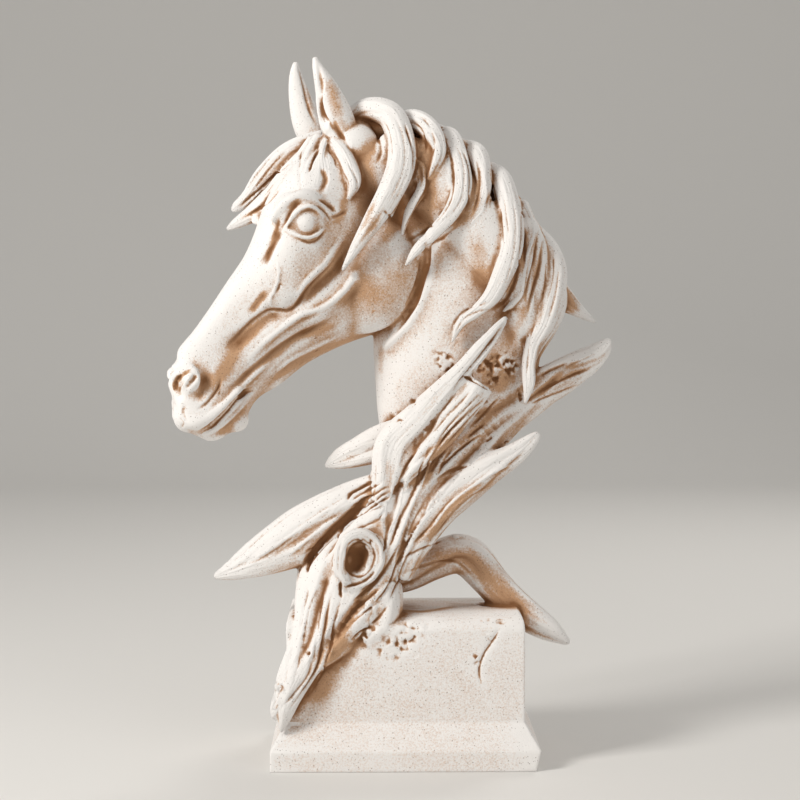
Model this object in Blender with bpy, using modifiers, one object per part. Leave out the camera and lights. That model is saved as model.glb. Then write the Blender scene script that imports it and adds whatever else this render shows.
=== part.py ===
"""Driftwood horse head sculpture, one casting in sand-finished resin.

A horse's head and neck with a windblown mane grow out of a twisted piece of driftwood, whose root runs
down over the front of a plain rectangular plinth. The casting has no joints and no loose pieces.

World axes: +X to the right as the sculpture is looked at, +Y away from the viewer, +Z up. The origin is
the centre of the plinth's underside. Dimensions are millimetres, and MM turns them into metres.
"""
import math

import bmesh
import bpy
import numpy as np
from mathutils import Vector
from mathutils.bvhtree import BVHTree

MM = 0.001

# Plinth
PLINTH_HEIGHT = 90.0
BODY_HALF_WIDTH = 70.5
BODY_HALF_DEPTH = 42.5
TOP_HALF_DEPTH = 24.0
SHOULDER_HEIGHT = 82.0
SHOULDER_STEPS = 5
END_ROUNDING = 3.0
RIM_HALF_WIDTH = 79.5
RIM_HALF_DEPTH = 53.0
RIM_HEIGHT = 12.0
FLARE_HEIGHT = 27.0
FOOT_UNDERCUT = 3.0

# Driftwood: how its limbs swell, as number, amount, start and twist
WOOD_LOBES = ((3, 0.06, 0.5, 3.0), (5, 0.05, 1.0, -4.0))

# Head: its middle plane is turned about a vertical line, so the muzzle comes towards the viewer
HEAD_YAW = math.radians(18)
HEAD_PIVOT_Y = 5.0
CHEEK_RADIUS = 38.0
EYE_RADIUS = 7.5
EYE_OUT = 25.0

# Neck and wood lie in the picture plane
NECK_Y = 3.0

# How finely the forms are drawn: points round and along a limb, a skull slice, a ball and a curve
LIMB_SIDES = 24
LIMB_STEPS = 48
NECK_SIDES = 48
SKULL_SIDES = 48
SLICE_STEPS = 6
BALL_SEGMENTS = 32
CURVE_STEPS = 16
THINNEST = 0.3

# Carved strokes: points for each one given, the share of the length that fades, and the depth at the very end
STROKE_STEPS = 4
FADE_SHARE = 0.25
FADE_START = 0.15
TINY = 1e-12
NEAR_SIDE = -200.0

# Casting: the cell that forms melt together by, passes that soften them, and the triangles kept
HEAD_VOXEL = 1.8
HEAD_SOFTENING = 5
FLESH_SOFTENING = 2
WOOD_SOFTENING = 3
WHOLE_VOXEL = 1.5
WHOLE_SOFTENING = 1
SOFTEN = 0.5
TRIANGLES = 9400

# Finish
RESIN_COLOUR = (0.80, 0.72, 0.62, 1.0)
RESIN_ROUGHNESS = 0.8
CREASE = math.radians(50)


def bend(a, b, c, d, count):
    """The stretch from b to c of a smooth curve through four rows, without its last point."""
    t = np.linspace(0, 1, count, endpoint=False)[:, None]
    return b + ((c - a) * t + (2 * a - 5 * b + 4 * c - d) * t**2 + (3 * b - a - 3 * c + d) * t**3) / 2


def smooth_rows(rows, between):
    """The rows with a smooth curve drawn through them, by some rows for each stretch."""
    p = np.asarray(rows, float)
    q = np.vstack([2 * p[0] - p[1], p, 2 * p[-1] - p[-2]])
    stretches = [bend(*four, between) for four in zip(q, q[1:], q[2:], q[3:])]
    return np.vstack(stretches + [p[-1:]])


def evenly(fine, distance_of, count, closed=False):
    """Rows along the fine ones, evenly spaced by the distance between the points they stand for."""
    steps = np.linalg.norm(np.diff(distance_of, axis=0), axis=1)
    along = np.concatenate([[0], np.cumsum(steps)])
    wanted = np.linspace(0, along[-1], count, endpoint=not closed)
    return np.stack([np.interp(wanted, along, column) for column in fine.T], 1)


def spline(rows, count):
    """A smooth curve through the rows, evenly spaced by the distance of their first three values."""
    fine = smooth_rows(rows, CURVE_STEPS)
    return evenly(fine, fine[:, :3], count)


def add_mesh(name, verts, faces):
    """A mesh object from points in millimetres, with its faces turned outwards."""
    mesh = bpy.data.meshes.new(name)
    mesh.from_pydata((np.asarray(verts) * MM).tolist(), [], faces)
    bm = bmesh.new()
    bm.from_mesh(mesh)
    bmesh.ops.recalc_face_normals(bm, faces=bm.faces)
    if bm.calc_volume(signed=True) < 0:
        bmesh.ops.reverse_faces(bm, faces=bm.faces)
    bm.to_mesh(mesh)
    bm.free()
    obj = bpy.data.objects.new(name, mesh)
    bpy.context.scene.collection.objects.link(obj)
    return obj


def skin(name, rings):
    """A closed skin over rings of points, each ring capped to its middle at the two ends."""
    count, sides, _ = rings.shape
    i, j = np.meshgrid(np.arange(count - 1), np.arange(sides), indexing="ij")
    k = (j + 1) % sides
    quads = np.stack([i * sides + j, i * sides + k, (i + 1) * sides + k, (i + 1) * sides + j], -1)
    start, end = count * sides, count * sides + 1
    verts = np.vstack([rings.reshape(-1, 3), rings[0].mean(0), rings[-1].mean(0)])
    last = (count - 1) * sides
    caps = [(start, (n + 1) % sides, n) for n in range(sides)]
    caps += [(end, last + n, last + (n + 1) % sides) for n in range(sides)]
    return add_mesh(name, verts, quads.reshape(-1, 4).tolist() + caps)


def limb(name, stations, sides=LIMB_SIDES, steps=LIMB_STEPS, lobes=()):
    """A tapered limb through stations of x, y, z, half width as seen from the front, and half depth.

    Each lobe swells the section: how many swellings go round, how far, where they start, and their twist.
    """
    rows = spline(stations, steps)
    path, half_width, half_depth = rows[:, :3], rows[:, 3:4], rows[:, 4:5]
    ahead = np.gradient(path, axis=0)
    ahead /= np.linalg.norm(ahead, axis=1)[:, None]
    side = np.cross(ahead, (0.0, 1.0, 0.0))
    side /= np.linalg.norm(side, axis=1)[:, None]
    deep = np.cross(side, ahead)
    angle = np.linspace(0, 2 * math.pi, sides, endpoint=False)[None, :]
    share = np.linspace(0, 1, steps)[:, None]
    swell = np.ones((steps, sides))
    for number, amount, start, twist in lobes:
        swell = swell + amount * np.cos(number * angle + start + twist * share)
    across = np.maximum(half_width, THINNEST) * np.cos(angle) * swell
    through = np.maximum(half_depth, THINNEST) * np.sin(angle) * swell
    rings = path[:, None] + side[:, None] * across[..., None] + deep[:, None] * through[..., None]
    return skin(name, rings)


def ball(name, centre, radii, lean=0.0):
    """An ellipsoid with its radii along X, Y and Z, leaned about the Y axis by some degrees."""
    bpy.ops.mesh.primitive_uv_sphere_add(segments=BALL_SEGMENTS, ring_count=BALL_SEGMENTS // 2, radius=MM)
    obj = bpy.context.object
    obj.name = name
    points = mesh_points(obj.data) * np.asarray(radii)
    c, s = math.cos(math.radians(lean)), math.sin(math.radians(lean))
    turned = points @ np.array([[c, 0, s], [0, 1, 0], [-s, 0, c]]).T
    place_points(obj.data, turned + np.asarray(centre) * MM)
    return obj


def mesh_points(mesh):
    values = np.empty(len(mesh.vertices) * 3, np.float32)
    mesh.vertices.foreach_get("co", values)
    return values.reshape(-1, 3).astype(float)


def mesh_normals(mesh):
    values = np.empty(len(mesh.vertices) * 3, np.float32)
    mesh.vertices.foreach_get("normal", values)
    return values.reshape(-1, 3).astype(float)


def place_points(mesh, points):
    mesh.vertices.foreach_set("co", np.asarray(points, np.float32).ravel())
    mesh.update()


def settle(obj, name):
    """The object's evaluated shape as a new plain mesh object, in place of it."""
    bpy.context.view_layer.update()
    depsgraph = bpy.context.evaluated_depsgraph_get()
    mesh = bpy.data.meshes.new_from_object(obj.evaluated_get(depsgraph))
    bpy.data.objects.remove(obj)
    result = bpy.data.objects.new(name, mesh)
    bpy.context.scene.collection.objects.link(result)
    return result


def fuse(name, forms, voxel, passes):
    """Melts the forms into one skin of even cells, smoothed over by some passes."""
    whole = bmesh.new()
    for form in forms:
        whole.from_mesh(form.data)
        bpy.data.objects.remove(form)
    mesh = bpy.data.meshes.new(name)
    whole.to_mesh(mesh)
    whole.free()
    obj = bpy.data.objects.new(name, mesh)
    bpy.context.scene.collection.objects.link(obj)
    remesh = obj.modifiers.new("One skin", "REMESH")
    remesh.mode = "VOXEL"
    remesh.voxel_size = voxel * MM
    smooth = obj.modifiers.new("Soften", "SMOOTH")
    smooth.factor = SOFTEN
    smooth.iterations = passes
    return settle(obj, name)


def ray(form, x, z):
    hit = form.ray_cast(Vector((x, NEAR_SIDE, z)) * MM, Vector((0, 1, 0)))[0]
    return np.array(hit) if hit else None


def carve(obj, strokes, both_sides=False):
    """Draws strokes on the near side of the form. Each is a path of x and z, a half width, and a depth.

    A stroke cuts in by its depth at its middle line, or stands out where its depth is negative, and it
    dies away towards its sides and its two ends. On the head each is drawn on the far side too.
    """
    mesh = obj.data
    points, normals = mesh_points(mesh), mesh_normals(mesh)
    form = BVHTree.FromPolygons([v.co for v in mesh.vertices], [p.vertices for p in mesh.polygons])
    push = np.zeros(len(points))
    for path, half_width, depth in strokes:
        drawn = spline([(x, z, 0) for x, z in path], STROKE_STEPS * len(path))
        line = [hit for hit in (ray(form, x, z) for x, z, _ in drawn) if hit is not None]
        if len(line) > 1:
            push += stroke_push(points, np.array(line), half_width * MM) * depth * MM
            if both_sides:
                push += stroke_push(points, across_head(np.array(line)), half_width * MM) * depth * MM
    place_points(mesh, points - normals * push[:, None])


def across_head(points):
    """Points mirrored to the other side of the head's middle plane."""
    middle = np.array([math.cos(HEAD_YAW), math.sin(HEAD_YAW), 0])
    out = np.array([-math.sin(HEAD_YAW), math.cos(HEAD_YAW), 0])
    from_pivot = points - np.array([0, HEAD_PIVOT_Y * MM, 0])
    side = from_pivot @ out
    return points - 2 * side[:, None] * out


def stroke_push(points, line, reach):
    """How much of a stroke's depth each point takes, from none to all of it."""
    share = np.zeros(len(points))
    low, high = line.min(0) - reach, line.max(0) + reach
    near = np.flatnonzero(((points > low) & (points < high)).all(1))
    if len(near) == 0:
        return share
    chosen = points[near]
    gap = np.full(len(near), np.inf)
    along = np.zeros(len(near))
    pieces = len(line) - 1
    for n, (a, b) in enumerate(zip(line, line[1:])):
        run = b - a
        t = np.clip((chosen - a) @ run / max(run @ run, TINY), 0, 1)
        distance = np.linalg.norm(chosen - a - t[:, None] * run, axis=1)
        closer = distance < gap
        gap[closer] = distance[closer]
        along[closer] = (n + t[closer]) / pieces
    across = np.clip(gap / reach, 0, 1)
    ends = np.clip(np.minimum(along, 1 - along) / FADE_SHARE + FADE_START, 0, 1)
    share[near] = (1 - across**2) ** 2 * ends
    return share


def head_point(length, side, height):
    """A point of the head from its own frame: along the skull, out to one side, and up."""
    c, s = math.cos(HEAD_YAW), math.sin(HEAD_YAW)
    return (c * length - s * side, HEAD_PIVOT_Y + s * length + c * side, height)


def head_shell():
    """The skull from the muzzle to the poll, lofted through slices across it.

    A slice has its top and bottom in the head's middle plane, each as length and height, then pairs of
    a share of the way down and the half width there.
    """
    slices = [
        ((-146, 227), (-138, 201), ((0.1, 7), (0.5, 11), (0.9, 9))),
        ((-140, 240), (-122, 194), ((0.06, 8), (0.3, 14), (0.6, 16), (0.88, 11))),
        ((-139.5, 247), (-104, 201), ((0.05, 8), (0.3, 13.5), (0.6, 15.5), (0.9, 10))),
        ((-130, 258), (-92.5, 217), ((0.05, 9), (0.3, 13.5), (0.6, 14.5), (0.9, 9))),
        ((-120.5, 271), (-79, 225), ((0.05, 10), (0.25, 14), (0.6, 16.5), (0.9, 10))),
        ((-109.5, 287), (-64, 236.5), ((0.05, 11), (0.25, 17), (0.6, 19), (0.9, 12))),
        ((-99, 302), (-50, 244), ((0.05, 13), (0.22, 22), (0.55, 22), (0.9, 14))),
        ((-92, 317), (-34, 250.5), ((0.05, 16), (0.2, 27), (0.5, 24), (0.85, 19))),
        ((-86, 333), (-17, 256), ((0.05, 19), (0.2, 30), (0.5, 25), (0.8, 20))),
        ((-77, 349), (-2, 267), ((0.06, 21), (0.22, 29), (0.45, 26), (0.8, 20))),
        ((-65, 362), (8, 285), ((0.08, 18), (0.25, 25), (0.5, 24), (0.8, 20))),
        ((-50, 372), (12, 308), ((0.1, 13), (0.3, 19), (0.6, 20), (0.85, 14))),
    ]
    stations = []
    for top, bottom, widths in slices:
        top, bottom = np.array(top, float), np.array(bottom, float)
        down = [(0.0, 0.0), *widths, (1.0, 0.0)]
        loop = down + [(share, -half) for share, half in widths[::-1]]
        section = ring_points(loop, np.linalg.norm(bottom - top), SKULL_SIDES)
        rows = top + (bottom - top) * section[:, :1]
        stations.append(np.column_stack([rows, section[:, 1]]).ravel())
    fine = smooth_rows(stations, SLICE_STEPS).reshape(-1, SKULL_SIDES, 3)
    c, s = math.cos(HEAD_YAW), math.sin(HEAD_YAW)
    length, height, side = fine[..., 0], fine[..., 1], fine[..., 2]
    rings = np.stack([c * length - s * side, HEAD_PIVOT_Y + s * length + c * side, height], -1)
    return skin("Skull", rings)


def ring_points(loop, depth, count):
    """A closed smooth section through its corners, evenly spaced by real distance."""
    p = np.asarray(loop, float)
    fours = zip(np.roll(p, 1, axis=0), p, np.roll(p, -1, axis=0), np.roll(p, -2, axis=0))
    fine = np.vstack([bend(*four, CURVE_STEPS) for four in fours] + [p[:1]])
    return evenly(fine, fine * (depth, 1.0), count, closed=True)


def head_pair(name, length, side, height, radii, lean=0.0):
    """The same swelling on both sides of the head."""
    return [
        ball(name, head_point(length, sign * side, height), radii, lean)
        for sign in (-1, 1)
    ]


def head_limbs(name, stations):
    """The same limb on both sides of the head. Stations are length, side, height and two half sizes."""
    limbs = []
    for sign in (-1, 1):
        rows = [(*head_point(a, sign * b, c), w, d) for a, b, c, w, d in stations]
        limbs.append(limb(name, rows))
    return limbs


def head_forms():
    """The skull with the swellings of bone and muscle on its two sides, and the lips and chin."""
    forms = [head_shell()]
    forms.append(ball("Nape", (-26, 2, 362), (22, 18, 15)))
    forms.append(ball("Near ear root", (-30, -11, 367), (15, 13, 14)))
    forms.append(ball("Far ear root", (-42, 17, 367), (15, 12, 13)))
    forms.append(ball("Poll", (-29, 0, 374), (13, 15, 11)))
    forms += head_pair("Cheek", -33, 11, 293, (CHEEK_RADIUS, 15, CHEEK_RADIUS))
    forms += head_pair("Orbit", -71, 21, 325, (17, 11, 13), 30)
    forms += head_limbs("Brow", [
        (-89, 20, 321, 2, 3), (-83, 26, 330, 4, 5), (-71, 29, 336, 5, 5), (-59, 27, 332, 4.5, 5),
        (-50, 24, 323, 2, 3),
    ])
    forms += head_limbs("Facial crest", [
        (-48, 24, 313, 3, 3), (-60, 22, 298, 5, 5), (-73, 19, 282, 4.5, 5), (-84, 15, 269, 3, 3),
    ])
    forms += head_limbs("Jaw muscle", [
        (-38, 24, 290, 4, 3), (-56, 20, 271, 4, 4), (-76, 15, 258, 4, 4), (-98, 12, 240, 3, 3),
    ])
    forms += head_pair("Nostril", -137, 11, 229.5, (9.5, 7, 8.5))
    forms += head_limbs("Upper lip", [
        (-139, 5, 211, 6, 6), (-131, 10, 206, 6, 6), (-118, 13, 212, 5, 5), (-106, 12, 222, 4, 4),
    ])
    forms.append(ball("Lip front", head_point(-134, 0, 208), (9, 12, 10)))
    forms.append(ball("Chin", head_point(-109, 0, 207), (12, 11, 8.5), 25))
    forms.append(ball("Lower lip", head_point(-117, 0, 198.5), (9, 10, 5), -25))
    return forms


def eyes():
    """Blank eyeballs, each between an upper and a lower lid."""
    forms = head_pair("Eye", -70.5, EYE_OUT, 320, (EYE_RADIUS,) * 3)
    forms += head_limbs("Upper lid", [
        (-80.5, 27, 317, 1.2, 1.5), (-76.7, 30, 323.5, 1.6, 2), (-72, 31.5, 327.5, 1.8, 2),
        (-66, 31, 327.5, 1.8, 2),
        (-61.5, 29.5, 324.5, 1.6, 2), (-58, 27.5, 320, 1.2, 1.5),
    ])
    forms += head_limbs("Lower lid", [
        (-80.5, 27, 317, 1.2, 1.5), (-76, 29.5, 313, 1.5, 2), (-70.3, 30.5, 311, 1.6, 2),
        (-64.5, 30.5, 312.5, 1.6, 2),
        (-60.5, 29, 316, 1.5, 2), (-58, 27.5, 320, 1.2, 1.5),
    ])
    return forms


def neck_forms():
    """The neck, lofted from the poll down into the wood. Front and back edges, then the half depth."""
    edges = [
        ((-30, 340), (0, 378), 17), ((-24, 315), (28, 362), 21), ((-17, 290), (54, 337), 24),
        ((-18, 268), (73, 304), 25), ((-17.5, 245), (82, 272), 26), ((-18.5, 222), (78, 240), 25),
        ((-18, 200), (66, 208), 22), ((-14, 180), (52, 182), 18), ((-6, 162), (38, 162), 15),
        ((0, 147), (24, 146), 11),
    ]
    stations = []
    for front, back, half_depth in edges:
        middle = (np.array(front) + back) / 2
        half = np.linalg.norm(np.array(back, float) - front) / 2
        stations.append((middle[0], NECK_Y, middle[1], half, half_depth))
    throat = [
        (19, -13, 318, 1.5, 2), (16, -18, 302, 3, 4), (12, -21, 285, 4, 4.5), (5, -21, 269, 4, 4.5),
        (-4, -19, 257, 3, 4), (-13, -13, 247, 1.5, 2),
    ]
    return [limb("Neck", stations, NECK_SIDES), limb("Throat ridge", throat)]


def ears():
    near = [
        (-36, -12, 368, 10, 8), (-41, -14, 384, 10.5, 7.5), (-46.5, -15, 401, 7, 5.5),
        (-51.5, -15, 413, 3.4, 3.2), (-53.5, -15, 419.5, 1.4, 1.5),
    ]
    far = [
        (-52, 18, 368, 9, 8), (-59, 18, 384, 9.2, 7.5), (-64, 18, 401, 6.5, 5.5), (-66, 17, 413, 3.8, 3.2),
        (-66, 17, 420.5, 1.4, 1.5),
    ]
    near_hollow = [
        (-46, -24, 372, 1, 3), (-49, -23, 382, 3.6, 7), (-52, -22, 394, 3.2, 6.5),
        (-54.5, -20, 405, 1.8, 4.5),
        (-56, -18, 412, 0.5, 1.5),
    ]
    far_hollow = [
        (-62, 27, 372, 1, 3), (-65, 27, 382, 3.6, 7), (-68.5, 26, 394, 3.2, 6.5),
        (-69.5, 23, 405, 1.8, 4.5),
        (-69, 20, 412, 0.5, 1.5),
    ]
    return [
        hollowed(limb("Near ear", near), limb("Near ear hollow", near_hollow)),
        hollowed(limb("Far ear", far), limb("Far ear hollow", far_hollow)),
    ]


def hollowed(form, cutter):
    """The form with the cutter's shape taken out of it."""
    cut = form.modifiers.new("Hollow", "BOOLEAN")
    cut.operation = "DIFFERENCE"
    cut.solver = "EXACT"
    cut.object = cutter
    result = settle(form, form.name)
    bpy.data.objects.remove(cutter)
    return result


MANE_LOCKS = {
    "Poll curl": [
        (-38, 2, 380, 4, 5), (-24, -4, 389.5, 6.5, 8), (-9, -14, 385.5, 8, 9), (-2.5, -22, 369, 8.5, 8),
        (-3, -29, 354, 8.5, 7), (-9, -34, 339, 7.5, 5.5), (-18.5, -37, 323, 6, 5),
        (-28.5, -38, 307, 3.5, 4), (-37, -37, 293, 0.8, 2),
    ],
    "Poll curl tip": [(-1, -26, 356, 7, 6), (-4, -30, 341, 4, 4), (-8.5, -32, 324, 0.6, 2)],
    "Poll edge": [
        (6, -18, 362, 2.5, 4), (10.5, -22, 350, 3, 4), (9, -26, 340, 2.8, 4), (2, -28, 328, 2.2, 4),
        (-2, -28, 314, 0.8, 3),
    ],
    "Second lock": [
        (-4, 6, 382, 6, 6), (6, -6, 383, 6.5, 8), (15, -16, 376, 6.5, 8), (20, -21, 364, 4.5, 6),
        (16, -24, 352, 2.5, 4), (13, -25, 346, 0.6, 2),
    ],
    "Big curl": [
        (21, 6, 373, 6, 6), (27, -8, 371.5, 6.5, 8), (32, -18, 357, 6, 7), (33.5, -25, 342, 6, 6),
        (28, -29, 328, 5, 5), (18, -31, 316, 4, 4.5), (7, -31, 305, 3, 4), (0, -29, 296, 0.6, 2),
    ],
    "Third lock": [
        (37, 8, 366, 7, 7), (43, -8, 361.5, 7, 8), (46, -17, 347, 5.5, 7), (45, -22, 336, 4, 5),
        (38, -25, 322, 0.6, 2),
    ],
    "White wave": [
        (50, 6, 353, 7, 7), (57, -9, 347.5, 7, 8), (61, -18, 334, 7, 7.5), (63.5, -23, 319, 7, 7),
        (62, -26, 304, 7, 6.5), (57, -28, 290, 6.5, 6), (51, -29, 278, 5.5, 5.5),
        (42, -29.5, 269, 4, 4.5), (33, -29, 262, 3, 3.5), (27.5, -28, 251, 0.6, 2),
    ],
    "Wave shadow": [
        (69, 2, 333, 6, 7), (74, -9, 319, 5, 7), (73.5, -15, 303, 4, 6), (71, -19, 288, 3.5, 5),
        (66, -22, 276, 3, 4), (58, -25, 269, 0.6, 2),
    ],
    "Rear lock": [
        (76, 4, 317, 7, 8), (85, -2, 306, 8, 9), (89, -8, 292, 8.5, 8.5), (86.5, -13, 276, 8.5, 7.5),
        (82.5, -17, 262, 7, 6.5), (76, -20, 249, 5, 5.5), (73.5, -22, 237, 4.5, 5),
        (73.5, -23, 226, 4, 4.5),
        (71.5, -23, 214, 0.8, 2),
    ],
    "Rear under": [
        (88, 4, 292, 8, 9), (91, 3, 276, 8, 9), (87, 1, 262, 7, 8), (79, 0, 247, 5.5, 7),
        (73, 0, 234, 5, 6),
    ],
    "Back spike": [(85, 6, 288, 9, 8), (97, 8, 276, 7.5, 6), (107, 8, 268.5, 4, 4), (117, 8, 262, 0.8, 1)],
}

FAR_LOCKS = {
    "Far poll fall": [
        (-24, 10, 386, 6, 7), (-15, 20, 379, 7, 8), (-13, 28, 363, 7, 7), (-18, 33, 345, 6, 6),
        (-26, 36, 326, 4, 4), (-33, 37, 308, 0.8, 2),
    ],
    "Far second fall": [
        (3, 12, 381, 6, 7), (12, 21, 369, 7, 8), (12, 27, 351, 6.5, 7), (5, 30, 332, 4.5, 5),
        (-4, 30, 313, 0.8, 2),
    ],
    "Far third fall": [
        (23, 12, 369, 6, 7), (31, 21, 355, 7, 8), (32, 27, 337, 6.5, 7), (24, 30, 317, 4.5, 5),
        (12, 31, 299, 0.8, 2),
    ],
    "Far fourth fall": [
        (41, 12, 355, 6, 7), (49, 21, 341, 7, 8), (51, 27, 321, 6.5, 7), (45, 30, 300, 5, 5),
        (33, 31, 280, 0.8, 2),
    ],
    "Far fifth fall": [
        (59, 12, 337, 6, 7), (66, 20, 321, 7.5, 8), (67, 27, 299, 7, 7), (61, 30, 277, 5.5, 6),
        (49, 31, 258, 4, 4),
        (40, 30, 246, 0.8, 2),
    ],
    "Far rear fall": [
        (74, 10, 316, 7, 8), (82, 17, 299, 8, 8), (82, 23, 279, 7.5, 7), (76, 26, 257, 6, 6),
        (67, 27, 237, 4, 4),
        (62, 26, 222, 0.8, 2),
    ],
}

UNDER_MANE = {
    "Far sheet": [
        (-18, 18, 364, 12, 9), (4, 21, 356, 16, 9), (24, 22, 342, 17, 9), (42, 23, 322, 16, 9),
        (56, 23, 300, 14, 9), (66, 22, 278, 12, 8), (72, 20, 256, 9, 7),
    ],
    "Near sheet": [
        (-18, -12, 366, 12, 9), (4, -15, 358, 16, 9), (24, -17, 344, 17, 9), (42, -18, 324, 16, 9),
        (56, -18, 302, 14, 9), (66, -17, 280, 12, 8), (71, -16, 260, 9, 7),
        (70, -12, 244, 4, 4),
    ],
    "Rear fill": [(70, -8, 324, 8, 8), (78, -9, 303, 9, 9), (79, -11, 281, 9, 8), (75, -12, 260, 5, 5)],
    "Crest": [
        (-24, 5, 377, 9, 12), (-5, 5, 380, 9, 13), (14, 4, 375.5, 9, 14), (34, 4, 362, 10, 15),
        (53, 4, 343, 10, 15), (71, 4, 320, 10, 15), (82.5, 4, 297, 10, 14), (86, 4, 276, 9, 13),
        (82, 4, 256, 7, 12),
    ],
}

FORELOCK = {
    "Far sweep": [
        (-48, 2, 374, 5, 7), (-69, 4, 366, 6, 8), (-84.5, 8, 351.5, 6.5, 6), (-94, 10, 338.5, 5.3, 4.5),
        (-102, 10, 332, 3.5, 3), (-105, 10, 330, 1, 1),
    ],
    "Far fall": [
        (-52, -2, 370, 4.5, 7), (-68, -2, 354, 5.5, 7), (-80, 0, 339, 6, 6), (-92, 3, 328, 5.5, 5),
        (-102, 6, 322, 3.5, 3.5), (-107.5, 8, 318.5, 1.2, 1),
    ],
    "Brow fall": [
        (-54, -8, 371, 4, 6), (-64, -12, 354, 4.5, 7), (-70, -17, 338, 3.5, 6), (-73, -20, 328, 0.8, 2),
    ],
    "Brow strand": [
        (-52, -10, 372, 3.5, 6), (-59, -19, 356, 3.5, 7), (-61, -26, 343, 3, 5), (-60, -29, 334, 0.8, 2),
    ],
    "Middle strand": [
        (-47, -10, 372, 3.5, 5), (-49, -20, 361, 3, 6), (-49, -27, 349, 3.2, 5), (-51, -31, 339, 2.5, 4),
        (-55, -32, 333, 0.8, 2),
    ],
    "Near fall": [
        (-45, -10, 372, 5, 6), (-37, -20, 362, 5.5, 7), (-32, -28, 350, 5.5, 6), (-30.5, -32, 343, 4, 4.5),
        (-33, -33, 335, 0.8, 2),
    ],
}

WOOD = {
    "Trunk": [
        (126, 6, 252, 2, 2), (119, 6, 244.5, 6.4, 5), (101.5, 5, 233.5, 10.6, 7), (80.5, 3, 221.5, 12, 10),
        (59, -3, 207, 13.5, 13), (38, -9, 188, 18, 18), (16, -14, 167, 21, 20), (-4, -18, 147, 23.5, 21),
        (-20, -22, 127, 25, 21), (-33, -26, 109, 28, 20), (-40, -31, 92, 26, 16), (-49, -39, 77, 19, 11),
        (-58, -43, 66, 13, 9), (-64.5, -46, 54, 10.5, 8), (-69.5, -47, 42, 8, 6.5),
        (-71.5, -48, 32, 5, 4.5),
        (-73, -48, 22, 0.6, 1),
    ],
    "Root tip": [(-69, -47, 48, 8, 6), (-75.5, -48, 38, 4.5, 4), (-78.5, -48, 30, 0.8, 1)],
    "Trunk flank": [
        (-46, -18, 128, 12, 10), (-52, -20, 112, 12, 12), (-53, -24, 96, 10, 12), (-55, -32, 80, 10, 10),
    ],
    "Left plank": [
        (6, -16, 167, 12, 11), (-18, -18, 158, 15.5, 13), (-40, -20, 146.5, 17.5, 12),
        (-58, -22, 136.5, 17.5, 10),
        (-73, -24, 129, 14.6, 8.5), (-88, -26, 121.5, 11, 7), (-102, -28, 115.5, 6.5, 4.5),
        (-113.5, -30, 112, 2, 1.5),
    ],
    "Left twig": [
        (14, -12, 197, 12, 12), (-8, -12, 191.5, 12.5, 10), (-24, -11, 185.5, 10.6, 7),
        (-38, -9, 180, 7, 4.5),
        (-48.5, -8, 175.5, 1.5, 1),
    ],
    "Right bough": [
        (80, -20, 197, 2, 2), (74.5, -21, 192, 4.5, 4), (63, -22, 183.5, 7, 6.5),
        (48.5, -23, 175, 9.5, 8.5),
        (32, -24, 162, 11.5, 10), (15, -25, 147, 12.5, 11), (1, -26, 129, 13, 11), (-6, -27, 112, 10, 9),
    ],
    "Right bough spur": [(48, -22, 172, 6, 6), (60, -21, 177, 4, 4), (68, -21, 179.5, 1, 1.5)],
    "Arch": [
        (-14, 2, 104, 9, 11), (2, 4, 108, 10, 11), (17, 5, 115, 10.5, 11), (31, 5, 120.5, 12, 11),
        (41, 5, 117.5, 12.5, 11), (51.5, 4, 105.5, 12, 11), (63, 2, 93.5, 11.5, 10),
        (77, 0, 82.5, 10, 9), (90, -1, 74.5, 7.5, 6.5), (101, -2, 66.5, 1.8, 2),
    ],
    "Arch knob": [(34, 5, 118, 6, 6), (32, 4, 130, 4.5, 5), (32, 4, 133, 2, 3)],
    "Splinter": [
        (60, -31, 266.5, 1.5, 1), (54.5, -32, 260, 3.5, 2.5), (44.5, -34, 248, 5, 4),
        (34.5, -34, 236, 5.5, 5),
        (21, -33, 222, 7, 6), (7, -31, 206, 9, 8), (-7, -29, 190, 10, 8), (-10, -28, 170, 9, 8),
        (-12, -29, 150, 8, 7), (-14, -32, 134, 5, 5),
    ],
    "Broken stub": [
        (44, -32, 227.5, 8, 6), (34, -32, 215, 9, 7), (22, -32, 200, 10, 7.5), (8, -31, 184, 9, 8),
        (-4, -30, 168, 6, 6),
    ],
    "Foot": [(-20, -22, 112, 14, 16), (-14, -24, 98, 13, 15), (-12, -25, 86, 11, 14)],
    "Knot lip": [
        (-34, -43, 110, 3, 4), (-38.5, -44, 120, 3.5, 4), (-36, -44, 133, 3.5, 4), (-27, -43, 139, 3.5, 4),
        (-18, -41, 133, 3.5, 4), (-16, -41, 123, 3.5, 4), (-23, -42, 112, 3, 4), (-31, -43, 107, 2, 3),
    ],
}

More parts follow.
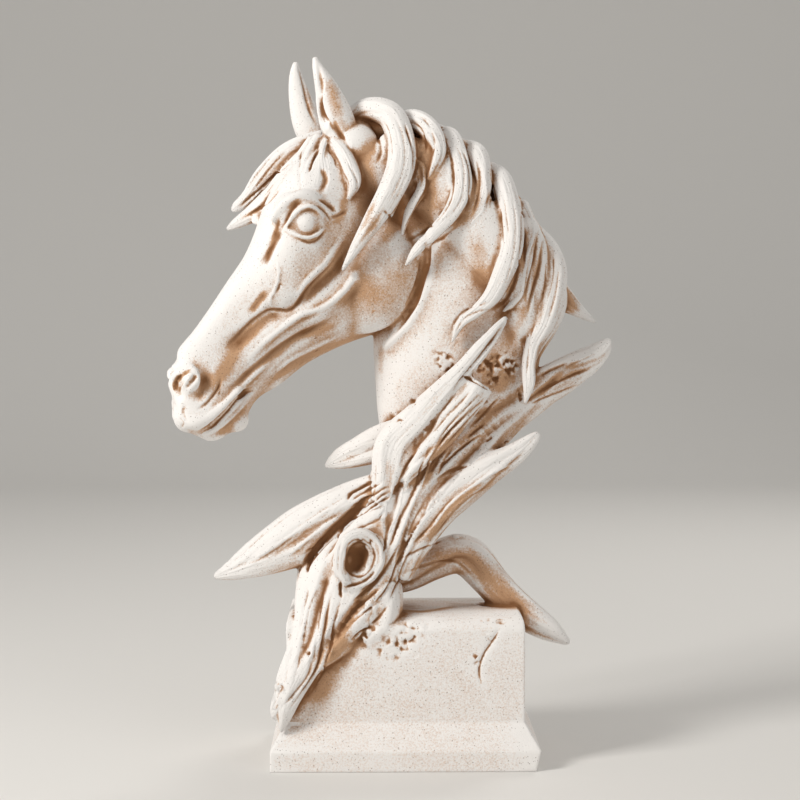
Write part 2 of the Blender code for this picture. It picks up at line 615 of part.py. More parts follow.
FACE_STROKES = [
    # eye socket
    ([(-58, 320), (-56, 320)], 12.0, 3.5),
    # folds above the eye
    ([(-69, 320), (-66, 329), (-60, 334)], 2.5, 1.5),
    ([(-49, 336), (-41, 327)], 2.5, 1.5),
    # hollow in front of the eye
    ([(-71, 323), (-75, 313), (-80, 303), (-83, 296)], 5.5, 4.0),
    # nostril opening and the groove behind its wing
    ([(-130, 223), (-131.5, 228), (-128.5, 233), (-124, 236), (-119, 239)], 4.2, 8.5),
    ([(-110.5, 234), (-113.5, 228), (-117.5, 221)], 5.0, 2.5),
    ([(-105, 231), (-108, 225), (-114, 215), (-119, 211)], 2.5, 1.5),
    # mouth line and its corner
    ([(-120.5, 198), (-112, 203.5), (-103.5, 211), (-97, 219), (-90, 224)], 2.8, 4.5),
    ([(-99, 216), (-92, 222)], 5.0, 1.8),
    # hollow below the facial crest
    ([(-33, 311), (-39, 295), (-52, 283), (-66, 271), (-80, 262)], 6.0, 3.0),
    ([(-70, 274), (-90, 258), (-105, 247)], 7.0, 2.5),
    # hollow above the jaw
    ([(-50, 262), (-72, 247), (-88, 233)], 5.0, 1.5),
]

NECK_STROKES = [
    # crease behind the cheek
    ([(12, 316), (12.5, 300), (9, 284), (1, 266), (-11, 251)], 4.0, 3.5),
]

WOOD_STROKES = [
    # eye of the knot
    ([(-27.5, 128), (-28, 124), (-29, 119)], 5.5, 9.0),
    # deep fold between the plank and the trunk
    ([(-22, 158), (-35, 146), (-48, 134), (-56, 124), (-60, 114)], 6.0, 6.0),
    ([(-44, 124), (-48, 108), (-53, 92), (-58, 76), (-64, 60)], 5.0, 4.0),
    ([(-20, 108), (-30, 94), (-42, 80), (-52, 68)], 5.0, 3.0),
    # main grooves of the trunk
    ([(70, 210), (50, 196), (30, 178), (12, 158), (2, 138), (-4, 118)], 4.0, 3.0),
    ([(56, 196), (40, 184), (24, 168), (10, 150)], 3.0, 2.2),
    ([(20, 206), (6, 190), (-2, 172), (-6, 154), (-10, 142)], 4.0, 3.0),
    ([(96, 232), (84, 222), (70, 212)], 3.0, 2.0),
    # ridge line of the left plank
    ([(-28, 160), (-50, 150), (-72, 136), (-92, 122)], 6.0, -2.5),
]


def plinth():
    """The plain plinth, as level outlines stacked up its height: left, right and half depth at each."""
    levels = [
        (0.0, RIM_HALF_WIDTH, RIM_HALF_WIDTH - FOOT_UNDERCUT, RIM_HALF_DEPTH),
        (RIM_HEIGHT, RIM_HALF_WIDTH, RIM_HALF_WIDTH, RIM_HALF_DEPTH),
        (FLARE_HEIGHT, BODY_HALF_WIDTH, BODY_HALF_WIDTH, BODY_HALF_DEPTH),
    ]
    for n in range(SHOULDER_STEPS + 1):
        angle = n / SHOULDER_STEPS * math.pi / 2
        rise = (PLINTH_HEIGHT - SHOULDER_HEIGHT) * math.sin(angle)
        inset = 1 - math.cos(angle)
        half_width = BODY_HALF_WIDTH - END_ROUNDING * inset
        half_depth = BODY_HALF_DEPTH - (BODY_HALF_DEPTH - TOP_HALF_DEPTH) * inset
        levels.append((SHOULDER_HEIGHT + rise, half_width, half_width, half_depth))
    bm = bmesh.new()
    rings = []
    for height, left, right, half_depth in levels:
        corners = [(-left, -half_depth), (right, -half_depth), (right, half_depth), (-left, half_depth)]
        rings.append([bm.verts.new((x * MM, y * MM, height * MM)) for x, y in corners])
    for lower, upper in zip(rings, rings[1:]):
        for n in range(4):
            m = (n + 1) % 4
            bm.faces.new((lower[n], lower[m], upper[m], upper[n]))
    bm.faces.new(rings[0][::-1])
    bm.faces.new(rings[-1])
    mesh = bpy.data.meshes.new("Plinth")
    bm.to_mesh(mesh)
    bm.free()
    obj = bpy.data.objects.new("Plinth", mesh)
    bpy.context.scene.collection.objects.link(obj)
    return obj


def limbs(sizes, lobes=()):
    return [limb(name, stations, lobes=lobes) for name, stations in sizes.items()]


def sculpture():
    """Head, neck, mane and wood as one skin, with the main lines carved in."""
    head = fuse("Head", head_forms(), HEAD_VOXEL, HEAD_SOFTENING)
    carve(head, FACE_STROKES, both_sides=True)
    flesh = fuse("Flesh", [head] + neck_forms(), HEAD_VOXEL, FLESH_SOFTENING)
    wood = fuse("Driftwood", limbs(WOOD, lobes=WOOD_LOBES), HEAD_VOXEL, WOOD_SOFTENING)
    hair = limbs(MANE_LOCKS) + limbs(FAR_LOCKS) + limbs(FORELOCK) + limbs(UNDER_MANE)
    whole = fuse("Sculpture", [flesh, wood] + hair + ears() + eyes(), WHOLE_VOXEL, WHOLE_SOFTENING)
    carve(whole, NECK_STROKES + WOOD_STROKES)
    return whole


def lighten(obj, triangles):
    """Fewer triangles, kept where the form turns."""
    now = sum(len(p.vertices) - 2 for p in obj.data.polygons)
    reduce = obj.modifiers.new("Fewer faces", "DECIMATE")
    reduce.ratio = triangles / now
    return settle(obj, obj.name)


def one_casting(base, carving):
    """The plinth and the carving as one solid."""
    join = base.modifiers.new("One casting", "BOOLEAN")
    join.operation = "UNION"
    join.solver = "EXACT"
    join.object = carving
    result = settle(base, "horse_head_sculpture")
    bpy.data.objects.remove(carving)
    return result


def sand_finish_resin():
    material = bpy.data.materials.new("sand_finish_resin")
    material.use_nodes = True
    shader = material.node_tree.nodes["Principled BSDF"]
    shader.inputs["Base Color"].default_value = RESIN_COLOUR
    shader.inputs["Roughness"].default_value = RESIN_ROUGHNESS
    return material


def main():
    for obj in list(bpy.data.objects):
        bpy.data.objects.remove(obj)
    result = one_casting(plinth(), lighten(sculpture(), TRIANGLES))
    result.data.materials.clear()
    result.data.materials.append(sand_finish_resin())
    result.data.shade_smooth()
    result.data.set_sharp_from_angle(angle=CREASE)
    parts = bpy.data.collections.new("driftwood_horse_head_sculpture")
    bpy.context.scene.collection.children.link(parts)
    bpy.context.scene.collection.objects.unlink(result)
    parts.objects.link(result)
    return result


main()
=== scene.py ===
"""Driftwood horse head sculpture: the fine surface, finish, floor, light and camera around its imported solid.

The same forms as the solid's are melted together with finer cells, then hair, wood grain, pits and chips are
cut into them. The result is one piece that stands for the one casting. Dimensions are millimetres, and MM
turns them into metres.
"""

import math

import bmesh
import bpy
import numpy as np
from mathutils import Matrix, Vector
from mathutils.bvhtree import BVHTree


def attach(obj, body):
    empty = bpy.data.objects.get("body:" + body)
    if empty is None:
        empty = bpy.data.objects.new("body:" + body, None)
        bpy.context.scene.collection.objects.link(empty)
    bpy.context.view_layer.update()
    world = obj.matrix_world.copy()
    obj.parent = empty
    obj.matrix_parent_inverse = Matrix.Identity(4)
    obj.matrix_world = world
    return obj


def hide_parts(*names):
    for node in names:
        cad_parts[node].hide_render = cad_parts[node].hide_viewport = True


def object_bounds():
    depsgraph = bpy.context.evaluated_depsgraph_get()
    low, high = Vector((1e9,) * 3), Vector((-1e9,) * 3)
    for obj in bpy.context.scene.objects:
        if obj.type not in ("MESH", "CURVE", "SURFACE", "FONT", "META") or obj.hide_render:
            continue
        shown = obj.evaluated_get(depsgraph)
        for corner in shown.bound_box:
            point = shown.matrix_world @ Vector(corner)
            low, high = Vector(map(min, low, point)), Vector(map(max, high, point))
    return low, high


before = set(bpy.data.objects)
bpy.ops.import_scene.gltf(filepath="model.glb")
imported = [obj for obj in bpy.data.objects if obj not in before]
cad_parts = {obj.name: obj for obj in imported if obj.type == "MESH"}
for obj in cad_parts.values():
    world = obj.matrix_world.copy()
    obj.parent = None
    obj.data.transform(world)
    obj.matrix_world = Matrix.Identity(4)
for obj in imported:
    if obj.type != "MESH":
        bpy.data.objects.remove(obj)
CAD_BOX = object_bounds()


MM = 0.001

# Plinth
PLINTH_HEIGHT = 90.0
BODY_HALF_WIDTH = 70.5
BODY_HALF_DEPTH = 42.5
TOP_HALF_DEPTH = 24.0
SHOULDER_HEIGHT = 82.0
SHOULDER_STEPS = 5
END_ROUNDING = 3.0
RIM_HALF_WIDTH = 79.5
RIM_HALF_DEPTH = 53.0
RIM_HEIGHT = 12.0
FLARE_HEIGHT = 27.0
FOOT_UNDERCUT = 3.0

# Driftwood: how its limbs swell, as number, amount, start and twist
WOOD_LOBES = ((3, 0.06, 0.5, 3.0), (5, 0.05, 1.0, -4.0))

# Head: its middle plane is turned about a vertical line, so the muzzle comes towards the viewer
HEAD_YAW = math.radians(18)
HEAD_PIVOT_Y = 5.0
CHEEK_RADIUS = 38.0
EYE_RADIUS = 8.2
EYE_OUT = 25.0

# Neck and wood lie in the picture plane
NECK_Y = 3.0

# How finely the forms are drawn: points round and along a limb, a skull slice, a ball and a curve
LIMB_SIDES = 24
LIMB_STEPS = 48
NECK_SIDES = 48
SKULL_SIDES = 48
SLICE_STEPS = 6
BALL_SEGMENTS = 32
CURVE_STEPS = 16
THINNEST = 0.3

# Carved strokes: points for each one given, the share of the length that fades, and the depth at the very end
STROKE_STEPS = 4
FADE_SHARE = 0.25
FADE_START = 0.15
TINY = 1e-12
NEAR_SIDE = -200.0

# The fine skin: its cells, the passes that soften each stage, the triangles kept and the longest edge
SOFTEN = 0.5
HEAD_VOXEL = 1.1
HEAD_SOFTENING = 12
FLESH_SOFTENING = 4
NECK_SOFTENING = 45
WOOD_SOFTENING = 5
WHOLE_VOXEL = 0.75
WHOLE_SOFTENING = 3
TRIANGLES = 125000
LONG_EDGE = 4.0
LONG_EDGE_ROUNDS = 4
LIMB_RADIUS = 8.0
PIT = 2.6
WOOD_TOP = 278.0

# Finish: the viewer's point, the side pale from brushing and painted light, and hollows' wash and painted
# shade
VIEWER = (-19.6, -1150.0, 280.0)
PALE_AND_LIT_SIDE = (-0.62, -0.22, 0.66)
WASH_AND_SHADE_BASE = 0.30
WASH_AND_SHADE_TURN = 0.85
STONE_CLEAN = 0.95
BRUSH_AND_SHADE_STRENGTH = 1.6
SHELTER_RAYS = 26
SHELTER_REACH = 22.0
SHELTER_WASH_AND_SHADE = 1.9
HOLLOW_REACH = 12
HOLLOW_WEIGHTS = {2: 1.6, 5: 1.0, 12: 0.8}
GRAIN_STRETCH = 14.0
PALE = (0.85, 0.83, 0.81, 1)
TAN = (0.56, 0.34, 0.20, 1)
DARK_TAN = (0.24, 0.11, 0.045, 1)
SPECK = (0.12, 0.075, 0.05, 1)


def bend(a, b, c, d, count):
    """The stretch from b to c of a smooth curve through four rows, without its last point."""
    t = np.linspace(0, 1, count, endpoint=False)[:, None]
    return b + ((c - a) * t + (2 * a - 5 * b + 4 * c - d) * t**2 + (3 * b - a - 3 * c + d) * t**3) / 2


def smooth_rows(rows, between):
    """The rows with a smooth curve drawn through them, by some rows for each stretch."""
    p = np.asarray(rows, float)
    q = np.vstack([2 * p[0] - p[1], p, 2 * p[-1] - p[-2]])
    stretches = [bend(*four, between) for four in zip(q, q[1:], q[2:], q[3:])]
    return np.vstack(stretches + [p[-1:]])


def evenly(fine, distance_of, count, closed=False):
    """Rows along the fine ones, evenly spaced by the distance between the points they stand for."""
    steps = np.linalg.norm(np.diff(distance_of, axis=0), axis=1)
    along = np.concatenate([[0], np.cumsum(steps)])
    wanted = np.linspace(0, along[-1], count, endpoint=not closed)
    return np.stack([np.interp(wanted, along, column) for column in fine.T], 1)


def spline(rows, count):
    """A smooth curve through the rows, evenly spaced by the distance of their first three values."""
    fine = smooth_rows(rows, CURVE_STEPS)
    return evenly(fine, fine[:, :3], count)


def add_mesh(name, verts, faces):
    """A mesh object from points in millimetres, with its faces turned outwards."""
    mesh = bpy.data.meshes.new(name)
    mesh.from_pydata((np.asarray(verts) * MM).tolist(), [], faces)
    bm = bmesh.new()
    bm.from_mesh(mesh)
    bmesh.ops.recalc_face_normals(bm, faces=bm.faces)
    if bm.calc_volume(signed=True) < 0:
        bmesh.ops.reverse_faces(bm, faces=bm.faces)
    bm.to_mesh(mesh)
    bm.free()
    obj = bpy.data.objects.new(name, mesh)
    bpy.context.scene.collection.objects.link(obj)
    return obj


def skin(name, rings):
    """A closed skin over rings of points, each ring capped to its middle at the two ends."""
    count, sides, _ = rings.shape
    i, j = np.meshgrid(np.arange(count - 1), np.arange(sides), indexing="ij")
    k = (j + 1) % sides
    quads = np.stack([i * sides + j, i * sides + k, (i + 1) * sides + k, (i + 1) * sides + j], -1)
    start, end = count * sides, count * sides + 1
    verts = np.vstack([rings.reshape(-1, 3), rings[0].mean(0), rings[-1].mean(0)])
    last = (count - 1) * sides
    caps = [(start, (n + 1) % sides, n) for n in range(sides)]
    caps += [(end, last + n, last + (n + 1) % sides) for n in range(sides)]
    return add_mesh(name, verts, quads.reshape(-1, 4).tolist() + caps)


def limb(name, stations, sides=LIMB_SIDES, steps=LIMB_STEPS, lobes=()):
    """A tapered limb through stations of x, y, z, half width as seen from the front, and half depth.

    Each lobe swells the section: how many swellings go round, how far, where they start, and their twist.
    """
    rows = spline(stations, steps)
    path, half_width, half_depth = rows[:, :3], rows[:, 3:4], rows[:, 4:5]
    ahead = np.gradient(path, axis=0)
    ahead /= np.linalg.norm(ahead, axis=1)[:, None]
    side = np.cross(ahead, (0.0, 1.0, 0.0))
    side /= np.linalg.norm(side, axis=1)[:, None]
    deep = np.cross(side, ahead)
    angle = np.linspace(0, 2 * math.pi, sides, endpoint=False)[None, :]
    share = np.linspace(0, 1, steps)[:, None]
    swell = np.ones((steps, sides))
    for number, amount, start, twist in lobes:
        swell = swell + amount * np.cos(number * angle + start + twist * share)
    across = np.maximum(half_width, THINNEST) * np.cos(angle) * swell
    through = np.maximum(half_depth, THINNEST) * np.sin(angle) * swell
    rings = path[:, None] + side[:, None] * across[..., None] + deep[:, None] * through[..., None]
    return skin(name, rings)


def ball(name, centre, radii, lean=0.0):
    """An ellipsoid with its radii along X, Y and Z, leaned about the Y axis by some degrees."""
    bpy.ops.mesh.primitive_uv_sphere_add(segments=BALL_SEGMENTS, ring_count=BALL_SEGMENTS // 2, radius=MM)
    obj = bpy.context.object
    obj.name = name
    points = mesh_points(obj.data) * np.asarray(radii)
    c, s = math.cos(math.radians(lean)), math.sin(math.radians(lean))
    turned = points @ np.array([[c, 0, s], [0, 1, 0], [-s, 0, c]]).T
    place_points(obj.data, turned + np.asarray(centre) * MM)
    return obj


def mesh_points(mesh):
    values = np.empty(len(mesh.vertices) * 3, np.float32)
    mesh.vertices.foreach_get("co", values)
    return values.reshape(-1, 3).astype(float)


def mesh_normals(mesh):
    values = np.empty(len(mesh.vertices) * 3, np.float32)
    mesh.vertices.foreach_get("normal", values)
    return values.reshape(-1, 3).astype(float)


def place_points(mesh, points):
    mesh.vertices.foreach_set("co", np.asarray(points, np.float32).ravel())
    mesh.update()


def settle(obj, name):
    """The object's evaluated shape as a new plain mesh object, in place of it."""
    bpy.context.view_layer.update()
    depsgraph = bpy.context.evaluated_depsgraph_get()
    mesh = bpy.data.meshes.new_from_object(obj.evaluated_get(depsgraph))
    bpy.data.objects.remove(obj)
    result = bpy.data.objects.new(name, mesh)
    bpy.context.scene.collection.objects.link(result)
    return result


def fuse(name, forms, voxel, passes):
    """Melts the forms into one skin of even cells, smoothed over by some passes."""
    whole = bmesh.new()
    for form in forms:
        whole.from_mesh(form.data)
        bpy.data.objects.remove(form)
    mesh = bpy.data.meshes.new(name)
    whole.to_mesh(mesh)
    whole.free()
    obj = bpy.data.objects.new(name, mesh)
    bpy.context.scene.collection.objects.link(obj)
    remesh = obj.modifiers.new("One skin", "REMESH")
    remesh.mode = "VOXEL"
    remesh.voxel_size = voxel * MM
    smooth = obj.modifiers.new("Soften", "SMOOTH")
    smooth.factor = SOFTEN
    smooth.iterations = passes
    return settle(obj, name)


def ray(form, x, z):
    hit = form.ray_cast(Vector((x, NEAR_SIDE, z)) * MM, Vector((0, 1, 0)))[0]
    return np.array(hit) if hit else None


def carve(obj, strokes, both_sides=False):
    """Draws strokes on the near side of the form. Each is a path of x and z, a half width, and a depth.

    A stroke cuts in by its depth at its middle line, or stands out where its depth is negative, and it
    dies away towards its sides and its two ends. On the head each is drawn on the far side too.
    """
    mesh = obj.data
    points, normals = mesh_points(mesh), mesh_normals(mesh)
    form = BVHTree.FromPolygons([v.co for v in mesh.vertices], [p.vertices for p in mesh.polygons])
    push = np.zeros(len(points))
    for path, half_width, depth in strokes:
        drawn = spline([(x, z, 0) for x, z in path], STROKE_STEPS * len(path))
        line = [hit for hit in (ray(form, x, z) for x, z, _ in drawn) if hit is not None]
        if len(line) > 1:
            push += stroke_push(points, np.array(line), half_width * MM) * depth * MM
            if both_sides:
                push += stroke_push(points, across_head(np.array(line)), half_width * MM) * depth * MM
    place_points(mesh, points - normals * push[:, None])


def across_head(points):
    """Points mirrored to the other side of the head's middle plane."""
    middle = np.array([math.cos(HEAD_YAW), math.sin(HEAD_YAW), 0])
    out = np.array([-math.sin(HEAD_YAW), math.cos(HEAD_YAW), 0])
    from_pivot = points - np.array([0, HEAD_PIVOT_Y * MM, 0])
    side = from_pivot @ out
    return points - 2 * side[:, None] * out


def stroke_push(points, line, reach):
    """How much of a stroke's depth each point takes, from none to all of it."""
    share = np.zeros(len(points))
    low, high = line.min(0) - reach, line.max(0) + reach
    near = np.flatnonzero(((points > low) & (points < high)).all(1))
    if len(near) == 0:
        return share
    chosen = points[near]
    gap = np.full(len(near), np.inf)
    along = np.zeros(len(near))
    pieces = len(line) - 1
    for n, (a, b) in enumerate(zip(line, line[1:])):
        run = b - a
        t = np.clip((chosen - a) @ run / max(run @ run, TINY), 0, 1)
        distance = np.linalg.norm(chosen - a - t[:, None] * run, axis=1)
        closer = distance < gap
        gap[closer] = distance[closer]
        along[closer] = (n + t[closer]) / pieces
    across = np.clip(gap / reach, 0, 1)
    share[near] = (1 - across**2) ** 2
    if np.linalg.norm(line[-1] - line[0]) > reach:
        share[near] *= np.clip(np.minimum(along, 1 - along) / FADE_SHARE + FADE_START, 0, 1)
    return share


def head_point(length, side, height):
    """A point of the head from its own frame: along the skull, out to one side, and up."""
    c, s = math.cos(HEAD_YAW), math.sin(HEAD_YAW)
    return (c * length - s * side, HEAD_PIVOT_Y + s * length + c * side, height)


def head_shell():
    """The skull from the muzzle to the poll, lofted through slices across it.

    A slice has its top and bottom in the head's middle plane, each as length and height, then pairs of
    a share of the way down and the half width there.
    """
    slices = [
        ((-146, 227), (-138, 201), ((0.1, 7), (0.5, 11), (0.9, 9))),
        ((-140, 240), (-122, 194), ((0.06, 8), (0.3, 14), (0.6, 16), (0.88, 11))),
        ((-139.5, 247), (-104, 201), ((0.05, 8), (0.3, 13.5), (0.6, 15.5), (0.9, 10))),
        ((-130, 258), (-92.5, 217), ((0.05, 9), (0.3, 13.5), (0.6, 14.5), (0.9, 9))),
        ((-120.5, 271), (-79, 225), ((0.05, 10), (0.25, 14), (0.6, 16.5), (0.9, 10))),
        ((-109.5, 287), (-64, 236.5), ((0.05, 11), (0.25, 17), (0.6, 19), (0.9, 12))),
        ((-99, 302), (-50, 244), ((0.05, 13), (0.22, 22), (0.55, 22), (0.9, 14))),
        ((-92, 317), (-34, 250.5), ((0.05, 16), (0.2, 27), (0.5, 24), (0.85, 19))),
        ((-86, 333), (-17, 256), ((0.05, 19), (0.2, 30), (0.5, 25), (0.8, 20))),
        ((-77, 349), (-2, 267), ((0.06, 21), (0.22, 29), (0.45, 26), (0.8, 20))),
        ((-65, 362), (8, 285), ((0.08, 18), (0.25, 25), (0.5, 24), (0.8, 20))),
        ((-50, 372), (12, 308), ((0.1, 13), (0.3, 19), (0.6, 20), (0.85, 14))),
    ]
    stations = []
    for top, bottom, widths in slices:
        top, bottom = np.array(top, float), np.array(bottom, float)
        down = [(0.0, 0.0), *widths, (1.0, 0.0)]
        loop = down + [(share, -half) for share, half in widths[::-1]]
        section = ring_points(loop, np.linalg.norm(bottom - top), SKULL_SIDES)
        rows = top + (bottom - top) * section[:, :1]
        stations.append(np.column_stack([rows, section[:, 1]]).ravel())
    fine = smooth_rows(stations, SLICE_STEPS).reshape(-1, SKULL_SIDES, 3)
    c, s = math.cos(HEAD_YAW), math.sin(HEAD_YAW)
    length, height, side = fine[..., 0], fine[..., 1], fine[..., 2]
    rings = np.stack([c * length - s * side, HEAD_PIVOT_Y + s * length + c * side, height], -1)
    return skin("Skull", rings)


def ring_points(loop, depth, count):
    """A closed smooth section through its corners, evenly spaced by real distance."""
    p = np.asarray(loop, float)
    fours = zip(np.roll(p, 1, axis=0), p, np.roll(p, -1, axis=0), np.roll(p, -2, axis=0))
    fine = np.vstack([bend(*four, CURVE_STEPS) for four in fours] + [p[:1]])
    return evenly(fine, fine * (depth, 1.0), count, closed=True)


def head_pair(name, length, side, height, radii, lean=0.0):
    """The same swelling on both sides of the head."""
    return [
        ball(name, head_point(length, sign * side, height), radii, lean)
        for sign in (-1, 1)
    ]


def head_limbs(name, stations):
    """The same limb on both sides of the head. Stations are length, side, height and two half sizes."""
    limbs = []
    for sign in (-1, 1):
        rows = [(*head_point(a, sign * b, c), w, d) for a, b, c, w, d in stations]
        limbs.append(limb(name, rows))
    return limbs


def head_forms():
    """The skull with the swellings of bone and muscle on its two sides, and the lips and chin."""
    forms = [head_shell()]
    forms.append(ball("Nape", (-26, 2, 362), (22, 18, 15)))
    forms.append(ball("Near ear root", (-30, -11, 367), (15, 13, 14)))
    forms.append(ball("Far ear root", (-42, 17, 367), (15, 12, 13)))
    forms.append(ball("Poll", (-29, 0, 374), (13, 15, 11)))
    forms += head_pair("Cheek", -33, 11, 293, (CHEEK_RADIUS, 15, CHEEK_RADIUS))
    forms += head_pair("Orbit", -71, 21, 325, (17, 11, 13), 30)
    forms.append(ball("Temple", (-20, -13, 347), (20, 12, 24)))
    forms += head_limbs("Brow", [
        (-89, 20, 321, 2, 2), (-83, 25, 331, 3, 4), (-71, 28, 336.5, 3.6, 4), (-59, 26, 332, 3.2, 4),
        (-50, 23, 323, 2, 2),
    ])
    forms += head_limbs("Facial crest", [
        (-48, 24, 313, 3, 3), (-60, 22, 298, 5, 5), (-73, 19, 282, 4.5, 5), (-84, 15, 269, 3, 3),
    ])
    forms += head_limbs("Jaw muscle", [
        (-38, 24, 290, 4, 3), (-56, 20, 271, 4, 4), (-76, 15, 258, 4, 4), (-98, 12, 240, 3, 3),
    ])
    forms += head_pair("Nostril", -137, 11, 229.5, (9.5, 7, 8.5))
    forms += head_limbs("Upper lip", [
        (-139, 5, 211, 6, 6), (-131, 10, 206, 6, 6), (-118, 13, 212, 5, 5), (-106, 12, 222, 4, 4),
    ])
    forms.append(ball("Lip front", head_point(-134, 0, 208), (9, 12, 10)))
    forms.append(ball("Chin", head_point(-109, 0, 207), (12, 11, 8.5), 25))
    forms.append(ball("Lower lip", head_point(-117, 0, 198.5), (9, 10, 5), -25))
    return forms


def eyes():
    """Blank eyeballs, each between an upper and a lower lid."""
    forms = head_pair("Eye", -69, EYE_OUT, 321.5, (EYE_RADIUS,) * 3)
    forms += head_limbs("Upper lid", [
        (-82, 25, 317.5, 1, 1.3), (-77, 29.5, 325, 1.1, 1.6), (-71.5, 32, 329.5, 1.2, 1.8),
        (-66, 32, 329.2, 1.2, 1.8), (-61, 30, 325, 1.1, 1.6), (-58, 27, 320.5, 1, 1.3),
    ])
    forms += head_limbs("Lower lid", [
        (-82, 25, 317.5, 1, 1.3), (-76, 29.3, 313.5, 1, 1.5), (-69.5, 31, 312, 1.1, 1.6),
        (-63.5, 30.3, 314, 1.1, 1.6), (-60, 28.8, 317, 1, 1.5), (-58, 27, 320.5, 1, 1.3),
    ])
    return forms


def neck_forms():
    """The neck, lofted from the poll down into the wood. Front and back edges, then the half depth."""
    edges = [
        ((-30, 340), (0, 378), 17), ((-24, 315), (28, 362), 21), ((-17, 290), (54, 337), 24),
        ((-18, 268), (73, 304), 25), ((-17.5, 245), (82, 272), 26), ((-18.5, 222), (78, 240), 25),
        ((-18, 200), (66, 208), 22), ((-14, 180), (52, 182), 18), ((-6, 162), (38, 162), 15),
        ((0, 147), (24, 146), 11),
    ]
    stations = []
    for front, back, half_depth in edges:
        middle = (np.array(front) + back) / 2
        half = np.linalg.norm(np.array(back, float) - front) / 2
        stations.append((middle[0], NECK_Y, middle[1], half, half_depth))
    throat = [
        (19, -13, 318, 1.5, 2), (16, -17, 302, 2.5, 3), (12, -19, 285, 3, 3.5), (5, -19, 269, 3, 3.5),
        (-4, -17, 257, 2.5, 3), (-13, -13, 247, 1.5, 2),
    ]
    return [limb("Neck", stations, NECK_SIDES), limb("Throat ridge", throat)]


def ears():
    near = [
        (-36, -12, 368, 10, 8), (-41, -14, 384, 10.5, 7.5), (-46.5, -15, 401, 7, 5.5),
        (-51.5, -15, 413, 3.4, 3.2), (-53.5, -15, 419.5, 1.4, 1.5),
    ]
    far = [
        (-52, 18, 368, 9, 8), (-59, 18, 384, 9.2, 7.5), (-64, 18, 401, 6.5, 5.5), (-66, 17, 413, 3.8, 3.2),
        (-66, 17, 420.5, 1.4, 1.5),
    ]
    near_hollow = [
        (-46, -24, 372, 1, 3), (-49, -23, 382, 3.6, 7), (-52, -22, 394, 3.2, 6.5),
        (-54.5, -20, 405, 1.8, 4.5),
        (-56, -18, 412, 0.5, 1.5),
    ]
    far_hollow = [
        (-62, 27, 372, 1, 3), (-65, 27, 382, 3.6, 7), (-68.5, 26, 394, 3.2, 6.5),
        (-69.5, 23, 405, 1.8, 4.5),
        (-69, 20, 412, 0.5, 1.5),
    ]
    return [
        hollowed(limb("Near ear", near), limb("Near ear hollow", near_hollow)),
        hollowed(limb("Far ear", far), limb("Far ear hollow", far_hollow)),
    ]


def hollowed(form, cutter):
    """The form with the cutter's shape taken out of it."""
    cut = form.modifiers.new("Hollow", "BOOLEAN")
    cut.operation = "DIFFERENCE"
    cut.solver = "EXACT"
    cut.object = cutter
    result = settle(form, form.name)
    bpy.data.objects.remove(cutter)
    return result


MANE_LOCKS = {
    "Poll curl": [
        (-38, 2, 380, 4, 4.2), (-24, -4, 389.5, 6.5, 6.8), (-9, -14, 385.5, 8, 7.6),
        (-2.5, -22, 369, 8.5, 6.8),
        (-3, -29, 354, 8.5, 6), (-9, -34, 339, 7.5, 4.7), (-18.5, -37, 323, 6, 4.2),
        (-28.5, -38, 307, 3.5, 3.4), (-37, -37, 293, 0.8, 1.7),
    ],
    "Poll curl tip": [(-1, -26, 356, 7, 5.1), (-4, -30, 341, 4, 3.4), (-8.5, -32, 324, 0.6, 1.7)],
    "Poll edge": [
        (6, -18, 362, 2.5, 3.4), (10.5, -22, 350, 3, 3.4), (9, -26, 340, 2.8, 3.4), (2, -28, 328, 2.2, 3.4),
        (-2, -28, 314, 0.8, 2.5),
    ],
    "Second lock": [
        (-4, 6, 382, 6, 5.1), (6, -6, 383, 6.5, 6.8), (15, -16, 376, 6.5, 6.8), (20, -21, 364, 4.5, 5.1),
        (16, -24, 352, 2.5, 3.4), (13, -25, 346, 0.6, 1.7),
    ],
    "Big curl": [
        (21, 6, 373, 6, 5.1), (27, -8, 371.5, 6.5, 6.8), (32, -18, 357, 6, 6), (33.5, -25, 342, 6, 5.1),
        (28, -29, 328, 5, 4.2), (18, -31, 316, 4, 3.8), (7, -31, 305, 3, 3.4), (0, -29, 296, 0.6, 1.7),
    ],
    "Third lock": [
        (37, 8, 366, 7, 6), (43, -8, 361.5, 7, 6.8), (46, -17, 347, 5.5, 6), (45, -22, 336, 4, 4.2),
        (38, -25, 322, 0.6, 1.7),
    ],
    "White wave": [
        (50, 6, 353, 7, 6), (57, -9, 347.5, 7, 6.8), (61, -18, 334, 7, 6.4), (63.5, -23, 319, 7, 6),
        (62, -26, 304, 7, 5.5), (57, -28, 290, 6.5, 5.1), (51, -29, 278, 5.5, 4.7),
        (42, -29.5, 269, 4, 3.8), (33, -29, 262, 3, 3), (27.5, -28, 251, 0.6, 1.7),
    ],
    "Wave shadow": [
        (69, 2, 333, 6, 6), (74, -9, 319, 5, 6), (73.5, -15, 303, 4, 5.1), (71, -19, 288, 3.5, 4.2),
        (66, -22, 276, 3, 3.4), (58, -25, 269, 0.6, 1.7),
    ],
    "Rear lock": [
        (76, 4, 317, 7, 6.8), (85, -2, 306, 8, 7.6), (89, -8, 292, 8.5, 7.2), (86.5, -13, 276, 8.5, 6.4),
        (82.5, -17, 262, 7, 5.5), (76, -20, 249, 5, 4.7), (73.5, -22, 237, 4.5, 4.2),
        (73.5, -23, 226, 4, 3.8),
        (71.5, -23, 214, 0.8, 1.7),
    ],
    "Rear under": [
        (88, 4, 292, 8, 7.6), (91, 3, 276, 8, 7.6), (87, 1, 262, 7, 6.8), (79, 0, 247, 5.5, 6),
        (73, 0, 234, 5, 5.1),
    ],
    "Back spike": [
        (85, 6, 288, 9, 6.8), (97, 8, 276, 7.5, 5.1), (107, 8, 268.5, 4, 3.4), (117, 8, 262, 0.8, 0.8),
    ],
}

